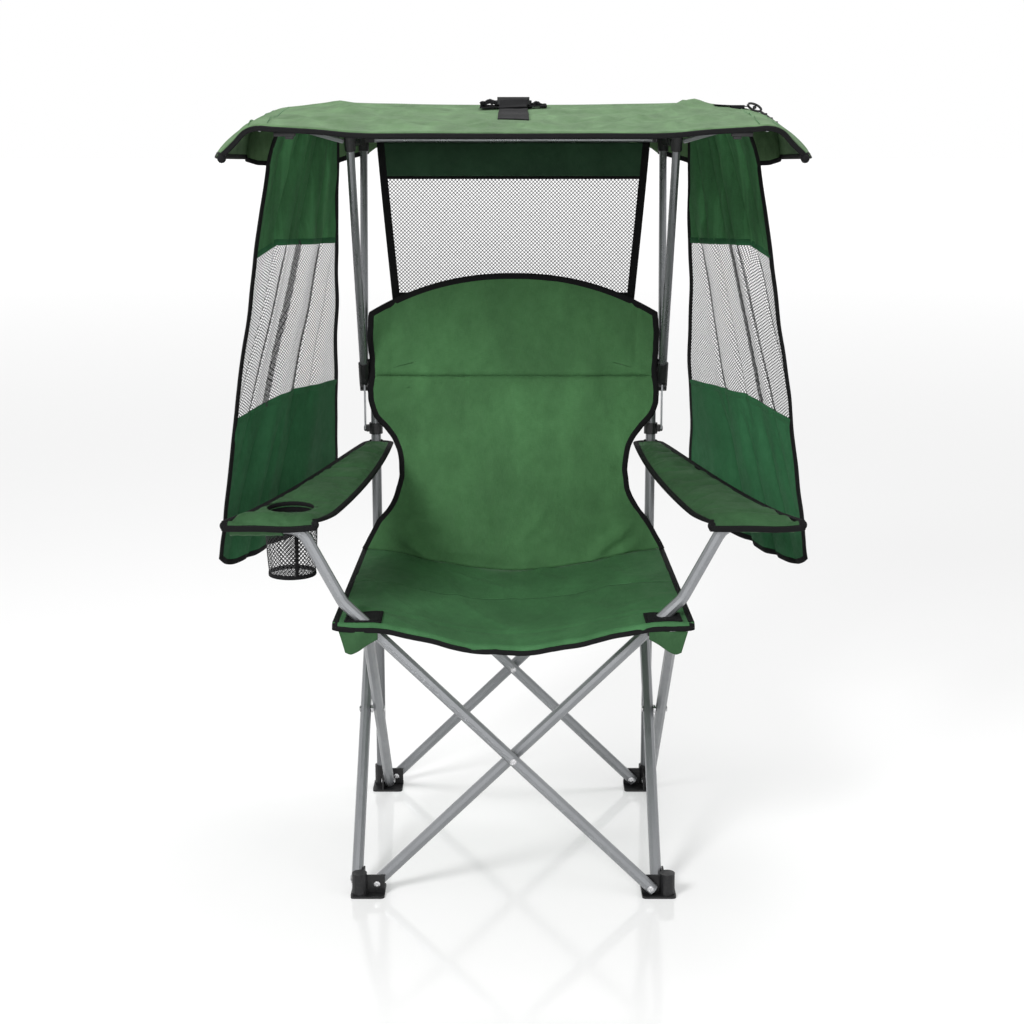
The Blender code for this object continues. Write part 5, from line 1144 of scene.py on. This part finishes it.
def arm_pad(side, name, surface):
    """The padded cloth, puffed up between its seams, with a hole for the post and one for the cup."""
    vs = np.concatenate([np.linspace(0, 1, 90), np.linspace(1, ARM_END_V, 7)[1:]])
    u, v = np.meshgrid(np.linspace(0, 1, 26), vs, indexing="ij")
    p = surface(u, v)
    width = np.linalg.norm(surface(1.0, vs) - surface(0.0, vs), axis=-1)[None]
    from_side = np.minimum(u, 1 - u) * width - 0.0102
    from_end = np.minimum(v, ARM_END_V - v) * (ARM_REAR - ARM_FRONT) - 0.0085
    edge = ramp(from_side, 0, 0.016) * ramp(from_end, 0, 0.018)
    crown = 0.0018 + 0.0048 * ease(edge) + 0.0010 * edge * ripple(p[..., 0] * 14, p[..., 1] * 9, side)
    # The front tube lifts the cloth in a roll, with a hollow behind it where the cup's hole leaves room.
    over_tube = ramp(from_side, 0, 0.010)
    crown = crown + 0.0042 * over_tube * bump(p[..., 1], ARM_FRONT_TUBE_Y, 0.0075)
    if side > 0:
        crown = crown - 0.0026 * over_tube * bump(p[..., 1], -0.243, 0.010)
    belly = 0.0014 + 0.0020 * ease(edge * ramp(v, 1.0, -0.1))
    keep = (from_side < 0.001) | (from_end < 0.001)
    keep |= np.hypot(np.abs(p[..., 0]) - POST, p[..., 1] - POST) < 0.014
    if side < 0:
        keep |= np.hypot(p[..., 0] - CUP_X, p[..., 1] - CUP_Y) < 0.045
    else:
        p, crown, belly, keep = p[::-1], crown[::-1], belly[::-1], keep[::-1]
    low_side = np.ones(keep.size, bool)
    if grid_normals(p)[..., 2].mean() > 0:
        up, down, pins = crown, belly, [keep.ravel(), low_side]
    else:
        up, down, pins = belly, crown, [low_side, keep.ravel()]
    pad = cloth(f"arm_pad_{name}", p, ARM_GREEN, up, down)
    inflated(pad, np.concatenate(pins))
    bored(pad, (side * POST, POST, 0.63), (side * POST, POST, 0.71), POST_HOLE)
    if side < 0:
        bored(pad, (CUP_X, CUP_Y, 0.60), (CUP_X, CUP_Y, 0.66), CUP_HOLE)
    return pad


def arm_edges(side, surface):
    """Tapes and stitches along the arm's four edges, round its corners and round its holes."""
    parts = []
    us, ends = np.linspace(0, 1, 26), np.linspace(0, ARM_END_V, 104)
    paths = side_paths(surface, ends, 0.0)
    paths += [trace(surface, us, 0.0, (0, 1)), trace(surface, us, ARM_END_V, (0, -1))]
    for path, wide in zip(paths, (ARM_TAPE, ARM_OUTER_TAPE, ARM_TAPE, ARM_TAPE)):
        parts += edging(path, wide, 0.0015, ARM_TAPE_OVER, ARM_TAPE_THICK)
    for share in (0.0, 1.0):
        parts.append(knob(surface(share, ARM_CORNER_V), ARM_CORNER_RADII, BLACK_TAPE))
    holes = [(side * POST, POST, POST_HOLE + 0.0020, 0.0040)]
    if side < 0:
        holes.append((CUP_X, CUP_Y, CUP_HOLE, 0.008))
    across, along = points(np.cos(TURN), np.sin(TURN), 0), points(-np.sin(TURN), np.cos(TURN), 0)
    for x, y, radius, wide in holes:
        ring = points(x, y, 0) + radius * across
        ring[:, 2] = arm_height(ring[:, 1]) + 0.0012
        path = (ring, along, across, np.cross(along, across))
        parts.append(tape(path, BLACK_TAPE, wide, 0.0014, 0.0095, True))
    return parts


def arm_sleeve(side, name):
    """The cloth sleeve round the bent tube, as rings that go out along its outside and back inside it."""
    line, turns = np.linspace(0.3625, 0.4455, 40)[:, None], np.linspace(0, 2 * math.pi, 33)[:-1]
    radius = np.concatenate([SLEEVE_OUTSIDE + 0.0004 * np.sin(line * 300), np.full((40, 1), SLEEVE_INSIDE)])
    line = np.concatenate([line, line[::-1]])
    p = points(side * line, radius * np.cos(turns) - FRONT_PLANES[side], ARM_TUBE_Z + radius * np.sin(turns))
    at = np.arange(p[..., 0].size).reshape(p.shape[:2])
    after = np.roll(at, -1, 0)
    faces = np.stack([at, after, np.roll(after, -1, 1), np.roll(at, -1, 1)], -1).reshape(-1, 4)
    uv = np.stack(np.broadcast_arrays(line, turns * SLEEVE_OUTSIDE), -1).reshape(-1, 2)
    return outward(piece(f"arm_sleeve_{name}", p.reshape(-1, 3), faces, ARM_GREEN, uv))


def make_arm(side, name):
    surface, body, squash = arm(side), f"arm_{name}", arm_squash(side)
    pad = soft(arm_pad(side, name, surface), body, squash, [f"arm_rest_{name}"])
    soft(joined(f"arm_binding_{name}", arm_edges(side, surface)), body, squash)
    tube = "front_cross_outer" if side < 0 else "front_cross_inner"
    soft(arm_sleeve(side, name), tube)


def cup_point(a, b):
    """a runs round the cup, b down it, in metres."""
    turn, share = a / CUP_RADIUS, ramp(b, 0, CUP_DEEP)
    radius = lerp(0.0420, 0.0372, share) + 0.0012 * np.sin(math.pi * share)
    x, y = CUP_X + radius * np.cos(turn), CUP_Y + radius * np.sin(turn)
    return points(x, y, lerp(arm_height(y) - 0.0052, CUP_BOTTOM + 0.002, share))


def cup_floor(a, b):
    return points(CUP_X + a, CUP_Y + b, CUP_BOTTOM + 0.0022)


def make_cup():
    squash = arm_squash(-1)
    wall = net("cup_wall", cup_point, lambda a, b: (b >= 0) & (b <= CUP_DEEP), (0, CUP_AROUND), (0, 28),
               2 * math.pi * CUP_RADIUS / CUP_AROUND, CUP_STRAND, CUP_NET, wrap=CUP_AROUND)
    floor = net("cup_floor", cup_floor, lambda a, b: a**2 + b**2 < CUP_FLOOR_RADIUS**2, (-12, 13), (-12, 13),
                CUP_FLOOR_CELL, CUP_STRAND, CUP_NET)
    mesh = soft(joined("cup_net", [wall, floor]), "arm_left", squash, ["cup_holder"])
    parts = []
    for at, wide in ((0.004, 0.004), (0.0905, 0.0035)):
        p = cup_point(TURN * CUP_RADIUS, at)
        along = unit(np.roll(p, -1, 0) - np.roll(p, 1, 0))
        out = unit((p - (CUP_X, CUP_Y, 0)) * (1, 1, 0))
        parts.append(tape((p, along, unit(np.cross(out, along)), out), BLACK_TAPE, wide, wide, 0.0024, True))
    seam = math.radians(-72)
    p = cup_point(seam * CUP_RADIUS, np.linspace(0, CUP_DEEP, 24))
    along, out = unit(np.gradient(p, axis=0)), points(math.cos(seam), math.sin(seam), np.zeros(24))
    parts.append(tape((p, along, np.cross(along, out), out), BLACK_TAPE, 0.003, 0.003, 0.002))
    trims = soft(joined("cup_binding", parts), "arm_left", squash)


# Webbing and buckles on the canopy


BUCKLE_Y = 0.2625


def strip(name, start, end, width, lift, count=60):
    """Webbing laid over the canopy from one place to another, 1.8 mm thick."""
    s, w = np.meshgrid(np.linspace(0, 1, count), np.linspace(-1, 1, 9), indexing="ij")
    run = np.array(end) - np.array(start)
    side = np.array((run[1], -run[0])) / np.linalg.norm(run) * width / 2
    p = canopy_at(start[0] + run[0] * s + side[0] * w, start[1] + run[1] * s + side[1] * w)
    p[..., 2] += lift
    return outward(cloth(name, p, BLACK_WEBBING, 0.0009, 0.0009))


def above_canopy(x, y, lift):
    return np.array((x, y, float(canopy_at(x, y)[2]) + lift))


def buckle_details():
    """Ribs, the two squeezed prongs and the bar of the side-release buckle."""
    base = above_canopy(0.0, 0.255, 0.0100)[2]
    parts = []
    for x in np.linspace(-0.010, 0.010, 5):
        low, high = (x - 0.0012, 0.2440, base), (x + 0.0012, 0.2485, base + 0.0075)
        parts.append(block(low, high, BUCKLE_BLACK, 0.0005))
    for low, high in ((-0.0325, -0.0275), (0.0275, 0.0325)):
        parts.append(block((low, 0.2475, base), (high, 0.262, base + 0.0055), BUCKLE_BLACK, 0.0014))
    parts.append(block((-0.0250, 0.2435, base - 0.0035), (0.0250, 0.2475, base), BUCKLE_BLACK))
    hard(joined("buckle_details", parts), "canopy_webbing_centre")


def side_buckle():
    """The strap over the right wing with its oval ring, and the short chain of links after it."""
    y, turn, lean = 0.215, np.linspace(0, 2 * math.pi, 41), math.radians(-24)
    a, b = 0.0125 * np.cos(turn), 0.0050 * np.sin(turn)
    ring = points(a * math.cos(lean) - b * math.sin(lean), 0, a * math.sin(lean) + b * math.cos(lean))
    centre = above_canopy(0.4235, y, 0.0095)
    chain = ((0.4330, 0.0070), (0.4420, 0.0062), (0.4520, 0.0050), (0.4610, 0.0040))
    chain = [above_canopy(x, y, lift) for x, lift in chain]
    parts = [
        round_rod(ring + centre, 0.0021, BUCKLE_BLACK),
        round_rod(centre + [(0, -0.004, 0), (0, 0.004, 0)], 0.0030, BUCKLE_BLACK),
        round_rod(chain, 0.0022, BUCKLE_BLACK),
    ]
    half = np.array((0.0036, 0.006, 0.0026))
    parts += [block(link - half, link + half, BUCKLE_BLACK) for link in chain[1:]]
    hard(joined("side_buckle", parts), "canopy_right")
    share, across = np.meshgrid(np.linspace(0, 1, 30), np.linspace(-1, 1, 7), indexing="ij")
    z = lerp(above_canopy(0.352, y, 0.0028)[2], centre[2] + 0.0015, share)
    p = points(lerp(0.352, 0.4125, share), y + 0.009 * across, z)
    strap = outward(cloth("side_strap_cloth", p, BLACK_WEBBING, THIN, THIN))
    soft(strap, "canopy_right")


def webbing_tail():
    """The free webbing end, folded down over the rear of the canopy towards the front."""
    share, across = np.meshgrid(np.linspace(0, 1, 26), np.linspace(-1, 1, 9), indexing="ij")
    y = 0.2435 - 0.030 * share
    z = canopy_at(np.zeros(26), y[:, 0])[:, 2:] + 0.0165 - 0.0115 * share**1.5
    p = points(0.0245 * across + 0.0012 * np.sin(share * 5), y, z + 0.0014 * np.sin(share * 7 + across))
    return outward(cloth("webbing_tail", p, BLACK_WEBBING, THIN, THIN))


def webbing_tab(side):
    """A crumpled black tab beside the buckle."""
    share, across = np.meshgrid(np.linspace(0, 1, 30), np.linspace(-1, 1, 16), indexing="ij")
    x, y = side * lerp(0.026, 0.0585, share), 0.262 + 0.016 * across
    z = canopy_at(np.abs(x), y)[..., 2] + 0.0075
    z = z + 0.0050 * bump(share, 0.45, 0.22) * (0.8 + 0.4 * ripple(share * 4 + side, across * 1.3, 2.0, 2))
    z = z + 0.0020 * ripple(share * 6, across * 2 + side, 9.0, 2)
    return outward(cloth("webbing_tab", points(x, y, z), BLACK_WEBBING, 0.0007, 0.0045))


def make_webbing():
    strap = strip("webbing_strap", (0, -0.10), (0, 0.288), 0.050, 0.0033)
    patch = strip("webbing_patch", (-0.0595, BUCKLE_Y), (0.0595, BUCKLE_Y), 0.054, 0.0056, 40)
    made = joined("canopy_webbing_cloth", [strap, patch])
    soft(made, "canopy_webbing_centre", None, ["canopy_webbing"])
    extras = joined("webbing_tabs", [webbing_tail(), webbing_tab(-1), webbing_tab(1)])
    soft(extras, "canopy_webbing_centre")
    buckle_details()
    side_buckle()


# Finishes of the frame


FRAME_LOOKS = (
    (("foot_", "slider_", "bracket_", "canopy_clip_", "canopy_knuckle_", "canopy_rail_"), MOULDING),
    (("tube_", "wing_rod_"), TUBE_GREY),
    (("post_",), POST_GREY),
    (("rivet_",), RIVET_METAL),
    (("mast_", "crossbar_", "canopy_link_"), MAST_GREY),
    (("canopy_buckle",), BUCKLE_BLACK),
    (("canopy_side_strap",), BLACK_WEBBING),
)


def dress_frame():
    for name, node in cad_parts.items():
        for look in (look for starts, look in FRAME_LOOKS if name.startswith(starts)):
            for slot in node.material_slots:
                slot.material = look


# Stage, light and camera


WHITE = (1, 1, 1, 1)
FLOOR_CORNERS = ((-40, -12, 0), (40, -12, 0), (40, 60, 0), (-40, 60, 0))
LIGHTS = {  # place, aim, size in metres and power in watts
    "key": ((-1.9, -2.7, 2.7), (0, 0, 0.7), 1.1, 96),
    "fill": ((2.6, -2.2, 1.6), (0, 0, 0.7), 2.0, 20),
    "front": ((0.2, -3.6, 0.7), (0, 0, 0.9), 1.8, 20),
    "top": ((0.3, 0.6, 3.3), (0, 0, 1.2), 1.3, 34),
}
IMAGE_SIZE = 1024
CAMERA_PLACE, CAMERA_PITCH, CAMERA_LENS = (0, -2.9889, 1.2461), 77.664, 62.56
CAMERA_SHIFT = -1.36  # pixels


def seen_rays(tree):
    """1 on the rays that the picture sees directly, in a reflection or through a clear piece."""
    rays = add_node(tree, "LightPath").outputs
    seen = rays["Is Camera Ray"]
    for kind in ("Is Glossy Ray", "Is Transmission Ray"):
        seen = add_node(tree, "Math", {0: seen, 1: rays[kind]}, operation="MAXIMUM").outputs[0]
    return seen


def make_stage():
    look = Finish("floor_paint", WHITE, Roughness=0.10, Specular_IOR_Level=0.45,
                  Base_Color=(0.8, 0.8, 0.8, 1), Emission_Color=WHITE)
    look.shows("Emission Strength", look.math("MULTIPLY", seen_rays(look.tree), 0.27))
    piece("floor", FLOOR_CORNERS, [(0, 1, 2, 3)], look.material, flat=[0])
    world = bpy.data.worlds.new("studio")
    bpy.context.scene.world = world
    world.use_nodes = True
    tree, background = world.node_tree, world.node_tree.nodes["Background"]
    level = add_node(tree, "MapRange", {"Value": seen_rays(tree), "To Min": 0.42, "To Max": 1.0})
    tree.links.new(level.outputs[0], background.inputs["Strength"])
    background.inputs["Color"].default_value = WHITE


def area_light(name, place, aim, size, power):
    data = bpy.data.lights.new(name, "AREA")
    data.energy, data.size = power, size
    made = placed(name, data)
    made.location = place
    made.rotation_mode = "QUATERNION"
    made.rotation_quaternion = (Vector(aim) - Vector(place)).to_track_quat("-Z", "Y")


def make_camera():
    data = bpy.data.cameras.new("photo_view")
    data.sensor_width, data.lens = 36.0, CAMERA_LENS
    data.shift_x = CAMERA_SHIFT / IMAGE_SIZE
    data.clip_start, data.clip_end = 0.05, 200
    made = placed("photo_view", data)
    made.location = CAMERA_PLACE
    made.rotation_euler = (math.radians(CAMERA_PITCH), 0, 0)
    bpy.context.scene.camera = made


def main():
    dress_frame()
    make_canopy()
    for side, name in SIDES:
        make_curtain(side, name)
    make_panel()
    make_seat_half(True)
    make_seat_half(False)
    make_back()
    for side, name in SIDES:
        make_arm(side, name)
    make_cup()
    make_webbing()
    make_stage()
    for name, values in LIGHTS.items():
        area_light(name, *values)
    make_camera()
    bpy.context.scene.view_settings.view_transform = "Standard"


main()
